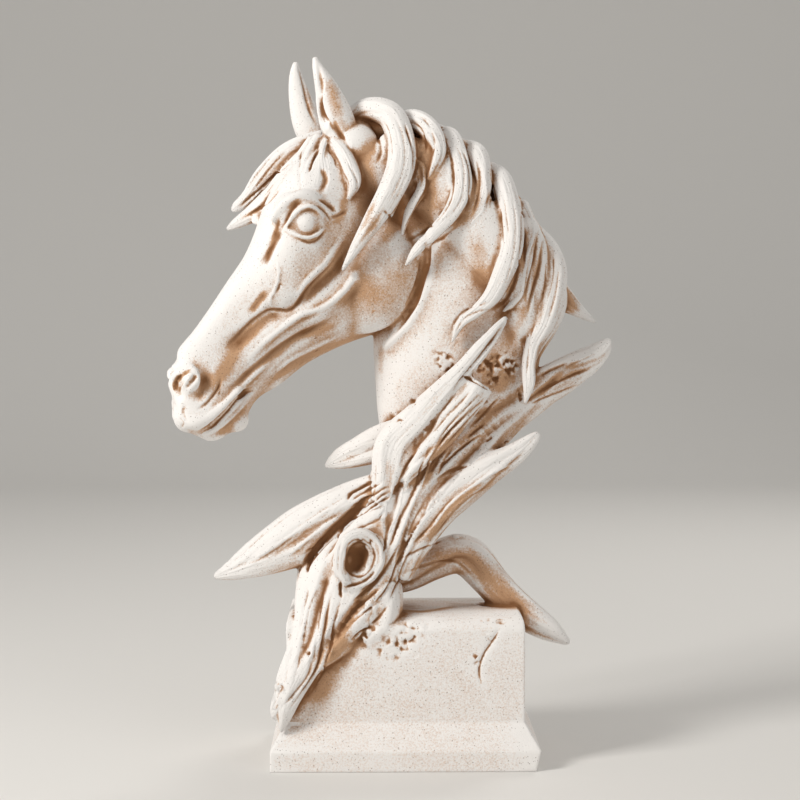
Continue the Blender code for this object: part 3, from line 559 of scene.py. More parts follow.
FAR_LOCKS = {
    "Far poll fall": [
        (-24, 10, 386, 6, 7), (-15, 20, 379, 7, 8), (-13, 28, 363, 7, 7), (-18, 33, 345, 6, 6),
        (-26, 36, 326, 4, 4), (-33, 37, 308, 0.8, 2),
    ],
    "Far second fall": [
        (3, 12, 381, 6, 7), (12, 21, 369, 7, 8), (12, 27, 351, 6.5, 7), (5, 30, 332, 4.5, 5),
        (-4, 30, 313, 0.8, 2),
    ],
    "Far third fall": [
        (23, 12, 369, 6, 7), (31, 21, 355, 7, 8), (32, 27, 337, 6.5, 7), (24, 30, 317, 4.5, 5),
        (12, 31, 299, 0.8, 2),
    ],
    "Far fourth fall": [
        (41, 12, 355, 6, 7), (49, 21, 341, 7, 8), (51, 27, 321, 6.5, 7), (45, 30, 300, 5, 5),
        (33, 31, 280, 0.8, 2),
    ],
    "Far fifth fall": [
        (59, 12, 337, 6, 7), (66, 20, 321, 7.5, 8), (67, 27, 299, 7, 7), (61, 30, 277, 5.5, 6),
        (49, 31, 258, 4, 4),
        (40, 30, 246, 0.8, 2),
    ],
    "Far rear fall": [
        (74, 10, 316, 7, 8), (82, 17, 299, 8, 8), (82, 23, 279, 7.5, 7), (76, 26, 257, 6, 6),
        (67, 27, 237, 4, 4),
        (62, 26, 222, 0.8, 2),
    ],
}

UNDER_MANE = {
    "Far sheet": [
        (-18, 18, 364, 12, 9), (4, 21, 356, 16, 9), (24, 22, 342, 17, 9), (42, 23, 322, 16, 9),
        (56, 23, 300, 14, 9), (66, 22, 278, 12, 8), (72, 20, 256, 9, 7),
    ],
    "Near sheet": [
        (-18, -13, 362, 15, 9), (4, -16, 354, 19, 9), (22, -18, 340, 20, 9), (40, -19, 321, 19, 9),
        (55, -18, 300, 16, 9), (66, -17, 280, 12, 8), (71, -16, 260, 9, 7),
        (70, -12, 244, 4, 4),
    ],
    "Rear fill": [(70, -8, 324, 8, 8), (78, -9, 303, 9, 9), (79, -11, 281, 9, 8), (75, -12, 260, 5, 5)],
    "Crest": [
        (-24, 5, 377, 9, 12), (-5, 5, 380, 9, 13), (14, 4, 375.5, 9, 14), (34, 4, 362, 10, 15),
        (53, 4, 343, 10, 15), (71, 4, 320, 10, 15), (82.5, 4, 297, 10, 14), (86, 4, 276, 9, 13),
        (82, 4, 256, 7, 12),
    ],
}

FORELOCK = {
    "Far sweep": [
        (-48, 2, 374, 5, 7), (-69, 4, 366, 6, 8), (-84.5, 8, 351.5, 6.5, 6), (-94, 10, 338.5, 5.3, 4.5),
        (-102, 10, 332, 3.5, 3), (-105, 10, 330, 1, 1),
    ],
    "Far fall": [
        (-52, -2, 370, 4.5, 7), (-68, -2, 354, 5.5, 7), (-80, 0, 339, 6, 6), (-92, 3, 328, 5.5, 5),
        (-102, 6, 322, 3.5, 3.5), (-107.5, 8, 318.5, 1.2, 1),
    ],
    "Brow fall": [
        (-54, -8, 371, 4, 6), (-64, -12, 354, 4.5, 7), (-70, -17, 338, 3.5, 6), (-73, -20, 328, 0.8, 2),
    ],
    "Brow strand": [
        (-52, -10, 372, 3.5, 6), (-59, -19, 356, 3.5, 7), (-61, -26, 343, 3, 5), (-60, -29, 334, 0.8, 2),
    ],
    "Middle strand": [
        (-47, -10, 372, 3.5, 5), (-49, -20, 361, 3, 6), (-49, -27, 349, 3.2, 5), (-51, -31, 339, 2.5, 4),
        (-55, -32, 333, 0.8, 2),
    ],
    "Near fall": [
        (-45, -10, 372, 5, 6), (-37, -20, 362, 5.5, 7), (-32, -28, 350, 5.5, 6), (-30.5, -32, 343, 4, 4.5),
        (-33, -33, 335, 0.8, 2),
    ],
}

WOOD = {
    "Trunk": [
        (126, 6, 252, 2, 2), (119, 6, 244.5, 6.4, 5), (101.5, 5, 233.5, 10.6, 7), (80.5, 3, 221.5, 12, 10),
        (59, -3, 207, 13.5, 13), (38, -9, 188, 18, 18), (16, -14, 167, 21, 20), (-4, -18, 147, 23.5, 21),
        (-20, -22, 127, 25, 21), (-33, -26, 109, 28, 20), (-40, -31, 92, 26, 16), (-49, -39, 77, 19, 11),
        (-58, -43, 66, 13, 9), (-64.5, -46, 54, 10.5, 8), (-69.5, -47, 42, 8, 6.5),
        (-71.5, -48, 32, 5, 4.5),
        (-73, -48, 22, 0.6, 1),
    ],
    "Root tip": [(-69, -47, 48, 8, 6), (-75.5, -48, 38, 4.5, 4), (-78.5, -48, 30, 0.8, 1)],
    "Trunk flank": [
        (-46, -18, 128, 12, 10), (-52, -20, 112, 12, 12), (-53, -24, 96, 10, 12), (-55, -32, 80, 10, 10),
    ],
    "Left plank": [
        (6, -16, 167, 12, 11), (-18, -18, 158, 15.5, 13), (-40, -20, 146.5, 17.5, 12),
        (-58, -22, 136.5, 17.5, 10),
        (-73, -24, 129, 14.6, 8.5), (-88, -26, 121.5, 11, 7), (-102, -28, 115.5, 6.5, 4.5),
        (-113.5, -30, 112, 2, 1.5),
    ],
    "Left twig": [
        (14, -12, 197, 12, 12), (-8, -12, 191.5, 12.5, 10), (-24, -11, 185.5, 10.6, 7),
        (-38, -9, 180, 7, 4.5),
        (-48.5, -8, 175.5, 1.5, 1),
    ],
    "Right bough": [
        (80, -20, 197, 2, 2), (74.5, -21, 192, 4.5, 4), (63, -22, 183.5, 7, 6.5),
        (48.5, -23, 175, 9.5, 8.5),
        (32, -24, 162, 11.5, 10), (15, -25, 147, 12.5, 11), (1, -26, 129, 13, 11), (-6, -27, 112, 10, 9),
    ],
    "Right bough spur": [(48, -22, 172, 6, 6), (60, -21, 177, 4, 4), (68, -21, 179.5, 1, 1.5)],
    "Arch": [
        (-14, 2, 104, 9, 11), (2, 4, 108, 10, 11), (17, 5, 115, 10.5, 11), (31, 5, 120.5, 12, 11),
        (41, 5, 117.5, 12.5, 11), (51.5, 4, 105.5, 12, 11), (63, 2, 93.5, 11.5, 10),
        (77, 0, 82.5, 10, 9), (90, -1, 74.5, 7.5, 6.5), (101, -2, 66.5, 1.8, 2),
    ],
    "Arch knob": [(34, 5, 118, 6, 6), (32, 4, 130, 4.5, 5), (32, 4, 133, 2, 3)],
    "Splinter": [
        (60, -31, 266.5, 1.5, 1), (54.5, -32, 260, 3.5, 2.5), (44.5, -34, 248, 5, 4),
        (34.5, -34, 236, 5.5, 5),
        (21, -33, 222, 7, 6), (7, -31, 206, 9, 8), (-7, -29, 190, 10, 8), (-10, -28, 170, 9, 8),
        (-12, -29, 150, 8, 7), (-14, -32, 134, 5, 5),
    ],
    "Broken stub": [
        (44, -32, 227.5, 8, 6), (34, -32, 215, 9, 7), (22, -32, 200, 10, 7.5), (8, -31, 184, 9, 8),
        (-4, -30, 168, 6, 6),
    ],
    "Foot": [
        (-20, -24, 114, 14, 16), (-16, -28, 100, 14, 15), (-17, -31, 89, 13.5, 12), (-23, -35, 80, 9, 7),
        (-30, -38, 75, 3, 3),
    ],
    "Knot lip": [
        (-34, -43, 110, 3, 4), (-38.5, -44, 120, 3.5, 4), (-36, -44, 133, 3.5, 4), (-27, -43, 139, 3.5, 4),
        (-18, -41, 133, 3.5, 4), (-16, -41, 123, 3.5, 4), (-23, -42, 112, 3, 4), (-31, -43, 107, 2, 3),
    ],
}

FACE_STROKES = [
    # eye socket
    ([(-58, 320), (-56, 320)], 11.0, 0.5),
    # folds above the eye
    ([(-69, 320), (-66, 329), (-60, 334)], 2.5, 1.5),
    ([(-49, 336), (-41, 327)], 2.5, 1.5),
    # hollow in front of the eye
    ([(-73, 318), (-76, 311), (-80, 303), (-83, 296)], 4.5, 2.8),
    # nostril opening, its rim, and the hollow behind its wing
    ([(-135.2, 219.5), (-133.4, 226.1), (-130, 232.5)], 7.5, 5.0),
    ([(-140, 220), (-141, 227), (-138, 233), (-132, 238), (-125.5, 238), (-121, 234), (-120, 227),
     (-122.5, 219)], 2.4, -1.6),
    ([(-115.5, 234), (-117.5, 225), (-122, 217)], 5.0, 2.2),
    # mouth line and its corner
    ([(-120.5, 198), (-112, 203.5), (-103.5, 211), (-97, 219), (-90, 224)], 2.8, 4.5),
    ([(-99, 216), (-92, 222)], 5.0, 1.8),
    # hollow below the facial crest
    ([(-33, 311), (-39, 295), (-52, 283), (-66, 271), (-80, 262)], 6.0, 3.0),
    ([(-70, 274), (-90, 258), (-105, 247)], 7.0, 2.5),
    # hollow above the jaw
    ([(-50, 262), (-72, 247), (-88, 233)], 5.0, 1.5),
]

NECK_STROKES = [
    # crease behind the cheek
    ([(12, 316), (12.5, 300), (9, 284), (1, 266), (-11, 251)], 4.0, 2.0),
]

WOOD_STROKES = [
    # eye of the knot
    ([(-27.5, 126), (-28.5, 121)], 7.5, 7.0),
    # deep fold between the plank and the trunk
    ([(-22, 158), (-35, 146), (-48, 134), (-56, 124), (-60, 114)], 5.0, 4.0),
    ([(-44, 124), (-48, 108), (-53, 92), (-58, 76), (-64, 60)], 5.0, 4.0),
    ([(-20, 108), (-30, 94), (-42, 80), (-52, 68)], 5.0, 3.0),
    # main grooves of the trunk
    ([(70, 210), (50, 196), (30, 178), (12, 158), (2, 138), (-4, 118)], 4.0, 3.0),
    ([(56, 196), (40, 184), (24, 168), (10, 150)], 3.0, 2.2),
    ([(20, 206), (6, 190), (-2, 172), (-6, 154), (-10, 142)], 4.0, 3.0),
    ([(96, 232), (84, 222), (70, 212)], 3.0, 2.0),
    # ridge line of the left plank
    ([(-28, 160), (-50, 150), (-72, 136), (-92, 122)], 6.0, -2.5),
]


def plinth():
    """The plain plinth, as level outlines stacked up its height: left, right and half depth at each."""
    levels = [
        (0.0, RIM_HALF_WIDTH, RIM_HALF_WIDTH - FOOT_UNDERCUT, RIM_HALF_DEPTH),
        (RIM_HEIGHT, RIM_HALF_WIDTH, RIM_HALF_WIDTH, RIM_HALF_DEPTH),
        (FLARE_HEIGHT, BODY_HALF_WIDTH, BODY_HALF_WIDTH, BODY_HALF_DEPTH),
    ]
    for n in range(SHOULDER_STEPS + 1):
        angle = n / SHOULDER_STEPS * math.pi / 2
        rise = (PLINTH_HEIGHT - SHOULDER_HEIGHT) * math.sin(angle)
        inset = 1 - math.cos(angle)
        half_width = BODY_HALF_WIDTH - END_ROUNDING * inset
        half_depth = BODY_HALF_DEPTH - (BODY_HALF_DEPTH - TOP_HALF_DEPTH) * inset
        levels.append((SHOULDER_HEIGHT + rise, half_width, half_width, half_depth))
    bm = bmesh.new()
    rings = []
    for height, left, right, half_depth in levels:
        corners = [(-left, -half_depth), (right, -half_depth), (right, half_depth), (-left, half_depth)]
        rings.append([bm.verts.new((x * MM, y * MM, height * MM)) for x, y in corners])
    for lower, upper in zip(rings, rings[1:]):
        for n in range(4):
            m = (n + 1) % 4
            bm.faces.new((lower[n], lower[m], upper[m], upper[n]))
    bm.faces.new(rings[0][::-1])
    bm.faces.new(rings[-1])
    mesh = bpy.data.meshes.new("Plinth")
    bm.to_mesh(mesh)
    bm.free()
    obj = bpy.data.objects.new("Plinth", mesh)
    bpy.context.scene.collection.objects.link(obj)
    return obj


def limbs(sizes, lobes=()):
    return [limb(name, stations, lobes=lobes) for name, stations in sizes.items()]


HAIR = {**MANE_LOCKS, **FAR_LOCKS, **FORELOCK}

# Strokes drawn as seen from the viewer's point, on the plane y = 0: path, half width, depth
FINE_FACE = [
    # hollow in front of the eye
    ([(-74.7, 322.4), (-77.1, 315.7), (-80.1, 308.4), (-83.2, 301.8)], 2.4, 0.9),
    ([(-72.9, 326), (-75.3, 319.3), (-78.9, 311.5), (-85, 301.8)], 1.6, -0.7),
    # folds round the eye
    ([(-62.6, 334.5), (-67.4, 330.2), (-71, 324.2), (-73.5, 319.3)], 1.3, 1.1),
    ([(-59.5, 332.1), (-65, 329), (-68.6, 324.2), (-71.7, 318.1)], 1, -0.7),
    ([(-52.3, 336.9), (-46.8, 333.3), (-40.8, 328.4)], 1.3, 1.1),
    ([(-52.9, 332.7), (-48, 329), (-44.4, 324.2)], 1.1, 0.9),
    ([(-45, 325.4), (-40.2, 326.6), (-34.7, 329.6)], 1.5, 0.9),
    ([(-63.2, 312.1), (-57.7, 310.3), (-52.3, 312.1), (-48, 317.5)], 1.3, 0.9),
    # vein and the little hollows beside it
    ([(-76.5, 298.8), (-75.9, 290.3), (-77.7, 283), (-80.7, 277.6), (-81.3, 272.7)], 1.1, -0.9),
    ([(-83.2, 280.6), (-88, 274.6), (-93.4, 268.5)], 3, 0.7),
    ([(-74.7, 286.1), (-77.7, 280.6)], 1.3, 0.9),
    # sharp lower edge of the facial crest
    ([(-36.5, 310.3), (-44.4, 296.9), (-56.5, 284.8), (-64.4, 273.9), (-70.4, 269.7), (-81.3, 269.7),
     (-91, 263.7), (-99.5, 255.8), (-108, 246.7)], 1.6, 0.9),
    ([(-38.4, 313.3), (-47.4, 298.8), (-59.5, 286.1), (-67.4, 274.6), (-73.5, 272.1)], 2.4, -0.9),
    # second ridge, and the valley below it
    ([(-28.7, 292.7), (-35.9, 281.8), (-48, 272.1), (-63.2, 266.1), (-75.3, 257.6), (-86.2, 248.5),
     (-94.7, 239.4)], 2.8, -1.3),
    ([(-35.9, 268.5), (-51.1, 260.6), (-64.4, 254.6), (-78.3, 245.5), (-88.6, 237), (-99.5, 227.3),
     (-109.2, 218.3)], 2.8, 0.8),
    # strip above the mouth
    ([(-77.7, 241.3), (-86.2, 234.6), (-94.7, 226.7), (-104.3, 217.7), (-112.8, 210.4),
     (-120.7, 204.3)], 2.4, -1),
    # jaw's lower ridge
    ([(-39, 254.6), (-54.1, 247.3), (-69.2, 239.4), (-80.1, 229.8)], 2.4, -0.8),
    # nostril: its deepest part, and the inner fold
    ([(-138.8, 220.7), (-138.2, 226.1), (-134.6, 230.4), (-129.8, 233.4)], 2.4, 1.6),
    ([(-132.8, 221.3), (-128.5, 226.7), (-125.5, 231.6)], 2.2, 1.6),
    ([(-135.2, 220.1), (-132.2, 226.1), (-127.9, 231)], 1.2, -0.9),
    ([(-111, 228.6), (-112.8, 222.5), (-118.9, 214), (-124.9, 209.8)], 1.2, 1.3),
    # mouth
    ([(-91, 220.7), (-97.1, 218.9), (-101.9, 214), (-106.8, 208), (-115.8, 199.5),
     (-123.1, 194.7)], 1.3, 2),
    ([(-93.4, 223.7), (-99.5, 221.3), (-104.9, 215.8), (-110.4, 209.8), (-118.9, 202.5)], 1.6, -0.8),
    ([(-94.7, 215.2), (-99.5, 209.8), (-106.2, 203.1), (-115.2, 195.9)], 2, -0.9),
    ([(-137, 204.9), (-134, 201.3), (-135.2, 198.3)], 1.2, 0.9),
    ([(-132.2, 212.8), (-134, 207.4), (-130.4, 200.7)], 1.4, 0.8),
]

FINE_HAIR = [
    # near ear, with the slit at its root
    ([(-51.7, 417.4), (-49.9, 405.9), (-49.9, 395.6), (-48, 387.1), (-42.6, 378.7),
     (-35.3, 370.8)], 1.9, 1.5),
    ([(-53.5, 418.6), (-52.3, 406.5), (-52.3, 394.4), (-50.5, 385.3), (-45, 376.8)], 1.6, -0.6),
    ([(-43.2, 383.5), (-39.6, 377.4), (-35.9, 372)], 1.8, 1.6),
    # far ear
    ([(-63.8, 416.2), (-60.8, 405.3), (-58.9, 395.6), (-56.5, 388.3), (-52.9, 381.1)], 1.4, 1.1),
    # forelock
    ([(-51.7, 365.9), (-55.3, 359.9), (-57.7, 352.6)], 1.3, 2.4),
    ([(-49.9, 355.7), (-47.4, 348.4), (-50.5, 341.1)], 2.6, 1.4),
    ([(-57.7, 370.8), (-62, 365.3), (-63.2, 355.7), (-62.6, 342.3)], 1.4, 0.8),
    ([(-46.2, 366.6), (-42, 360.5), (-40.8, 355.7)], 1.1, 1),
    ([(-38.4, 365.9), (-32.9, 356.3), (-28.7, 348.4), (-28.1, 342.3), (-31.7, 338.1)], 1.2, 1),
    ([(-65.6, 360.5), (-77.1, 351.4), (-86.2, 342.9), (-93.4, 336.9), (-99.5, 330.8)], 1.5, 1.6),
    ([(-70.4, 366.6), (-80.1, 355.7), (-88.6, 344.8), (-97.7, 333.9)], 0.9, 0.8),
    ([(-77.7, 365.3), (-86.2, 354.4), (-93.4, 344.8), (-100.1, 336.3)], 0.9, 0.7),
    ([(-77.7, 349.6), (-86.2, 340.5), (-94.7, 332.7), (-101.9, 327.2)], 0.9, 0.7),
    ([(-74.1, 343.6), (-81.3, 335.1), (-90.4, 329), (-101.9, 323.6)], 1.4, 1),
    # poll curl
    ([(-20.2, 380.5), (-16, 373.2), (-14.2, 365.3), (-16.6, 358.1)], 1.6, 1.3),
    ([(-13.5, 384.1), (-9.9, 378.1), (-8.1, 369), (-7.5, 359.3)], 1, 1),
    ([(-6.3, 386.5), (-1.4, 376.2), (0.4, 361.7), (-2.7, 348.4), (-9.3, 334.5)], 0.9, 0.6),
    ([(-11.1, 333.3), (-17.2, 323), (-25.7, 312.1), (-33.5, 301.2)], 0.9, 0.6),
    ([(-12.3, 329.6), (-7.5, 325.4)], 1.2, 1.2),
    # second lock
    ([(-0.2, 382.3), (3.4, 372.6), (5.8, 363.5), (5.2, 354.4)], 1.5, 1.8),
    ([(5.8, 361.7), (10.7, 356.9), (11.9, 350.2), (11.3, 342.9), (7, 335.1), (2.2, 326),
     (-0.8, 318.7)], 1.2, -1.3),
    ([(4.6, 383.5), (10.1, 378.1), (13.1, 369.6), (12.5, 364.1)], 1.1, 1.1),
    ([(8.8, 387.1), (14.9, 380.5), (17.9, 370.8), (17.3, 362.9)], 1.1, 1),
    # third lock
    ([(24.6, 371.4), (28.2, 360.5), (29.4, 347.2), (27, 334.5), (20.3, 324.8), (11.9, 316.9),
     (2.8, 312.1)], 1.4, 1.4),
    ([(28.8, 361.7), (31.8, 350.8), (31.2, 341.1)], 0.9, 0.8),
    ([(27.6, 372.6), (34.3, 362.3), (36.1, 349.6), (34.3, 336.9), (27.6, 327.2), (17.3, 318.7)], 0.9, 0.7),
    ([(34.9, 366.6), (39.1, 355.7), (39.7, 342.3), (37.3, 329.6)], 1.5, 1.8),
    ([(43.3, 360.5), (45.2, 350.8), (44.6, 338.7), (41.5, 328.4)], 1.2, 1.3),
    ([(47.6, 360.5), (48.8, 349.6), (49.4, 339.3), (47, 330.2)], 1.1, -0.9),
    ([(51.8, 354.4), (53, 342.3), (51.8, 331.4)], 1.3, 1.2),
    # crease under the curl and down behind the cheek
    ([(37.3, 326), (30.6, 319.3), (23.4, 313.3), (16.1, 308.4), (14.9, 297.6), (11.3, 285.4),
     (7.6, 273.9), (0.4, 263.1), (-8.1, 252.8)], 1.5, 0.9),
    ([(10.1, 304.8), (8.8, 293.9), (5.2, 281.8), (0.4, 272.1)], 1.2, 0.7),
    # white wave
    ([(59.7, 340.5), (60.9, 327.8), (63.3, 312.1)], 0.9, 0.9),
    ([(57.9, 331.4), (59.1, 319.3), (59.7, 307.2)], 0.9, 0.7),
    ([(65.1, 342.3), (67, 324.2), (66.3, 306), (62.7, 290.3), (57.3, 278.2)], 0.9, 0.6),
    ([(70.6, 337.5), (71.2, 320.6), (70, 302.4), (67, 287.3), (61.5, 276.4), (54.2, 270.3)], 1.6, 2),
    ([(51.8, 270.3), (42.1, 267.9), (34.9, 263.1), (30.6, 254)], 0.9, 1),
    ([(54.8, 275.8), (45.8, 272.7), (37.3, 269.7), (31.2, 263.7), (27.6, 255.2)], 1, 0.8),
    ([(76, 327.8), (77.8, 314.5), (74.2, 302.4), (72.4, 289.7), (70.6, 278.2), (64.5, 270.9)], 1.2, -1.2),
    ([(80.9, 318.1), (78.5, 301.2), (74.8, 285.4), (73, 274.6)], 1.2, 1.3),
    # rear lock
    ([(83.9, 312.1), (81.5, 296.3), (77.8, 281.2), (74.8, 268.5)], 1.5, 1.6),
    ([(90, 306), (90, 290.3), (86.3, 274.6)], 0.9, 0.9),
    ([(93.6, 296.9), (91.8, 281.2), (87.5, 264.9)], 0.9, 0.9),
    ([(85.7, 298.8), (85.1, 284.8), (82.1, 272.1)], 0.9, 0.7),
    ([(80.3, 263.7), (76, 252.8), (74.8, 238.2), (73, 224.3)], 1, 0.8),
]

FINE_GRAIN = [
    # comb-like break
    ([(-9.9, 162.6), (-17.8, 158.3), (-25.7, 154.1), (-32.9, 149.3)], 0.9, 2),
    ([(-9.3, 159.6), (-17.2, 154.7), (-25, 149.9), (-31.7, 146.2)], 0.9, 2),
    ([(-8.7, 156.5), (-14.8, 152.9), (-23.2, 148.1), (-29.9, 143.8)], 0.9, 1.8),
    ([(-12.3, 166.2), (-20.2, 161.4), (-28.1, 157.1), (-33.5, 152.9)], 0.9, 1.6),
    ([(-19.6, 165.6), (-26.9, 161.4), (-32.9, 157.7), (-34.7, 153.5)], 1.4, 2.2),
    ([(-11.1, 151.7), (-18.4, 148.7), (-25.7, 146.2)], 0.9, 1.2),
    # recess between the plank and the trunk
    ([(-23.2, 147.4), (-32.3, 142), (-37.8, 137.2), (-41.4, 131.1), (-44.4, 125.1), (-48, 120.2),
     (-51.1, 116.6)], 2.2, 1.6),
    ([(-55.3, 120.8), (-57.7, 116), (-58.9, 110.5)], 1.8, 2.2),
    # plank
    ([(-40.2, 143.2), (-52.3, 135.3), (-63.2, 126.9), (-71, 120.8)], 1.6, -1.2),
    ([(-44.4, 132.9), (-53.5, 126.9), (-62, 120.8)], 1, 1.2),
    ([(-49.9, 125.7), (-55.9, 120.8), (-60.8, 116.6)], 1, 1.2),
    ([(-35.9, 155.9), (-48, 149.3), (-60.2, 141.4), (-72.3, 132.3), (-86.2, 123.2)], 1.2, 0.9),
    ([(-53.5, 148.7), (-60.8, 143.8), (-68, 142)], 1, 0.9),
    ([(-42, 152.9), (-46.2, 146.8), (-52.3, 143.2)], 1, 0.8),
    ([(-63.2, 135.3), (-75.3, 126.3), (-87.4, 118.4), (-99.5, 114.2)], 1.2, 0.9),
    # long lines of the trunk
    ([(8.2, 185), (2.8, 177.7), (-1.4, 169.8), (-4.5, 162.6)], 0.9, 1),
    ([(16.1, 186.8), (10.7, 175.3), (7.6, 164.4), (2.8, 153.5), (-2.7, 141.4), (-8.1, 127.5)], 1.3, 1.5),
    ([(19.7, 191), (14.3, 174.1), (9.5, 162), (4, 149.9), (-1.4, 136.6), (-6.3, 123.2),
     (-12.3, 111.1)], 1.2, -1),
    ([(0.4, 151.7), (-3.3, 142.6), (-6.3, 132.9), (-9.9, 123.2)], 1.1, 1.2),
    ([(-3.9, 126.9), (-8.1, 117.8), (-14.2, 108.1), (-22, 99.6), (-31.7, 92.4)], 1.2, 1.6),
    ([(1, 125.1), (-4.5, 114.8), (-9.3, 102.7), (-16.6, 93), (-25.7, 84.5)], 1.2, 1.5),
    ([(5.8, 125.7), (-0.2, 114.8), (-5.1, 101.4), (-9.9, 90.6)], 1.2, 1.4),
    ([(-12.3, 102.7), (-20.8, 95.4), (-29.9, 87.5), (-36.5, 78.4), (-41.4, 70)], 1.3, 1.6),
    ([(-13.5, 93.6), (-22, 86.9), (-30.5, 80.9), (-37.2, 73.6)], 1, 1.2),
    ([(-9.9, 89.9), (-16, 82.1), (-20.8, 77.8)], 1, 1.2),
    ([(-7.5, 109.3), (-12.9, 99), (-19, 90.6), (-28.7, 83.3), (-35.9, 74.8)], 1.2, -0.9),
    ([(-19, 77.2), (-26.3, 73.6), (-31.7, 68.8)], 1.1, 1.8),
    ([(-11.7, 147.4), (-16, 142.6), (-23.2, 139), (-29.3, 136.6)], 1, 1.2),
    ([(-6.9, 143.8), (-9.9, 136.6), (-11.7, 127.5), (-12.9, 118.4)], 1.2, 1.1),
    # knot
    ([(-35.3, 118.4), (-34.7, 124.4), (-31.1, 128.7), (-25.7, 129.3), (-20.8, 125.7), (-19, 119.6),
     (-20.8, 112.9), (-26.3, 108.1), (-32.3, 109.3), (-35.3, 114.8)], 1.5, 1.4),
    ([(-20.2, 129.9), (-20.8, 126.9)], 1.1, 1.6),
    ([(-17.2, 111.7), (-23.2, 105.7), (-29.9, 102.7), (-35.9, 100.8)], 1.2, 2),
    ([(-39, 104.5), (-39, 99), (-38.4, 94.2)], 1.1, 2.4),
    ([(-35.3, 135.3), (-39, 127.5), (-40.2, 118.4), (-40.2, 108.1)], 1.2, 1),
    # root
    ([(-59.5, 60.9), (-57.7, 60.3)], 1.6, 2.6),
    ([(-52.9, 100.2), (-57.7, 88.1), (-60.8, 72.4), (-62, 62.7)], 1.2, 1),
    ([(-56.5, 57.9), (-58.3, 48.2), (-64.4, 39.1), (-71, 31.2), (-75.9, 25.8)], 1.3, 1.2),
    ([(-49.3, 95.4), (-52.3, 79.7), (-54.1, 63.9), (-56.5, 51.8)], 1.1, 1),
    ([(-43.8, 100.2), (-46.8, 86.9), (-49.3, 70), (-52.3, 54.8), (-56.5, 45.2), (-62.6, 36.1),
     (-69.8, 26.4)], 1.3, 1.8),
    ([(-39, 93), (-42.6, 78.4), (-45, 63.9), (-49.9, 49.4), (-55.9, 39.7)], 1.2, 1.7),
    ([(-42, 70), (-46.2, 57.9), (-52.3, 45.8), (-58.9, 35.5)], 1.1, -1),
    ([(-66.8, 70), (-70.4, 56.7), (-72.9, 43.3)], 0.9, 0.8),
    ([(-63.2, 60.3), (-65.6, 49.4), (-69.2, 39.7)], 0.9, 0.8),
    ([(-58.3, 100.2), (-61.4, 86.9), (-63.8, 73.6)], 0.9, 0.8),
    # cracks in the right bough
    ([(45.8, 193.4), (39.1, 189.2), (33.1, 184.4), (27.6, 179.5), (23.4, 175.3), (21, 170.4)], 1, 3),
    ([(53.6, 192.8), (49.4, 189.8)], 0.9, 1.8),
    ([(48.8, 200.7), (43.3, 196.5), (38.5, 192.2)], 0.9, 1.8),
    ([(25.2, 185), (20.3, 178.3), (16.1, 171.1)], 0.9, 1.6),
    ([(29.4, 185.6), (24.6, 178.9), (21.6, 174.1)], 0.9, 1.4),
    ([(21, 187.4), (16.1, 179.5), (11.9, 171.1), (8.8, 163.2)], 1, 1.4),
    ([(34.9, 203.7), (27.6, 195.9), (21, 187.4)], 1, 1.2),
    ([(43.3, 212.8), (34.9, 203.7), (26.4, 194.7), (19.1, 185)], 1, 1.2),
    ([(50, 214.6), (40.3, 204.3), (31.8, 194.7), (24.6, 186.8)], 1, 1.3),
    ([(57.9, 217.1), (48.8, 207.4), (39.7, 198.3)], 1, 1.1),
    ([(60.9, 189.2), (65.1, 189.8)], 1.2, 2),
    ([(39.7, 175.3), (30.6, 172.9), (23.4, 169.2), (19.1, 165.6)], 1.3, 1),
    ([(68.8, 177.7), (57.9, 172.9), (45.8, 165.6), (34.9, 157.7), (25.2, 149.3), (17.9, 139.6),
     (9.5, 129.9)], 1.2, -1),
    ([(50, 162.6), (37.3, 153.5), (27.6, 143.8), (19.1, 132.9)], 1, 0.9),
    ([(28.8, 154.7), (21.6, 146.2), (14.3, 136.6), (5.8, 128.1)], 1.2, 1.3),
    ([(15.5, 154.7), (9.5, 142.6), (2.2, 131.7)], 1.2, 1),
    # splinter and broken stub
    ([(60.3, 260), (51.8, 249.1), (43.3, 238.2), (35.5, 228.6), (28.8, 220.1)], 1.8, 2),
    ([(34.3, 226.7), (37.3, 228.6), (44.6, 225.5), (53, 220.7)], 1.4, 2.4),
    ([(40.3, 220.7), (32.5, 212.2), (24.6, 204.3), (17.3, 195.3)], 0.9, 1.3),
    ([(45.8, 218.9), (36.7, 209.2), (28.2, 200.7), (21, 191)], 0.9, 1.3),
    ([(31.8, 219.5), (22.2, 207.4), (14.3, 194.7)], 0.9, 1.1),
    ([(49.4, 216.4), (39.7, 207.4), (30.6, 198.3)], 0.9, 1.1),
    # upper right branch
    ([(112.3, 234), (100.8, 229.8), (90.6, 224.9), (82.1, 220.1)], 1, 1.4),
    ([(97.8, 237), (89.3, 233.4), (82.7, 229.8)], 0.9, 1.1),
    ([(104.5, 224.3), (94.8, 220.1), (85.1, 216.4), (74.8, 211.6)], 0.9, 1.1),
    ([(118.4, 244.3), (107.5, 239.4), (97.8, 235.2)], 0.9, 0.9),
    # arch
    ([(-1.4, 118.4), (9.5, 123.8), (21.6, 128.7)], 1.2, 1.2),
    ([(-1.4, 109.3), (12.5, 114.2), (26.4, 117.2), (34.9, 114.2), (44.6, 103.3)], 1.2, 0.9),
    # crack
    ([(58.5, 76), (54.8, 68.8), (49.4, 60.9), (46.4, 53.6), (45.8, 48.2), (47, 41.5)], 1, 1.6),
    ([(42.1, 53), (45.8, 55.4)], 1, 1),
    ([(50, 70), (53.6, 66.9)], 1, 0.9),
]

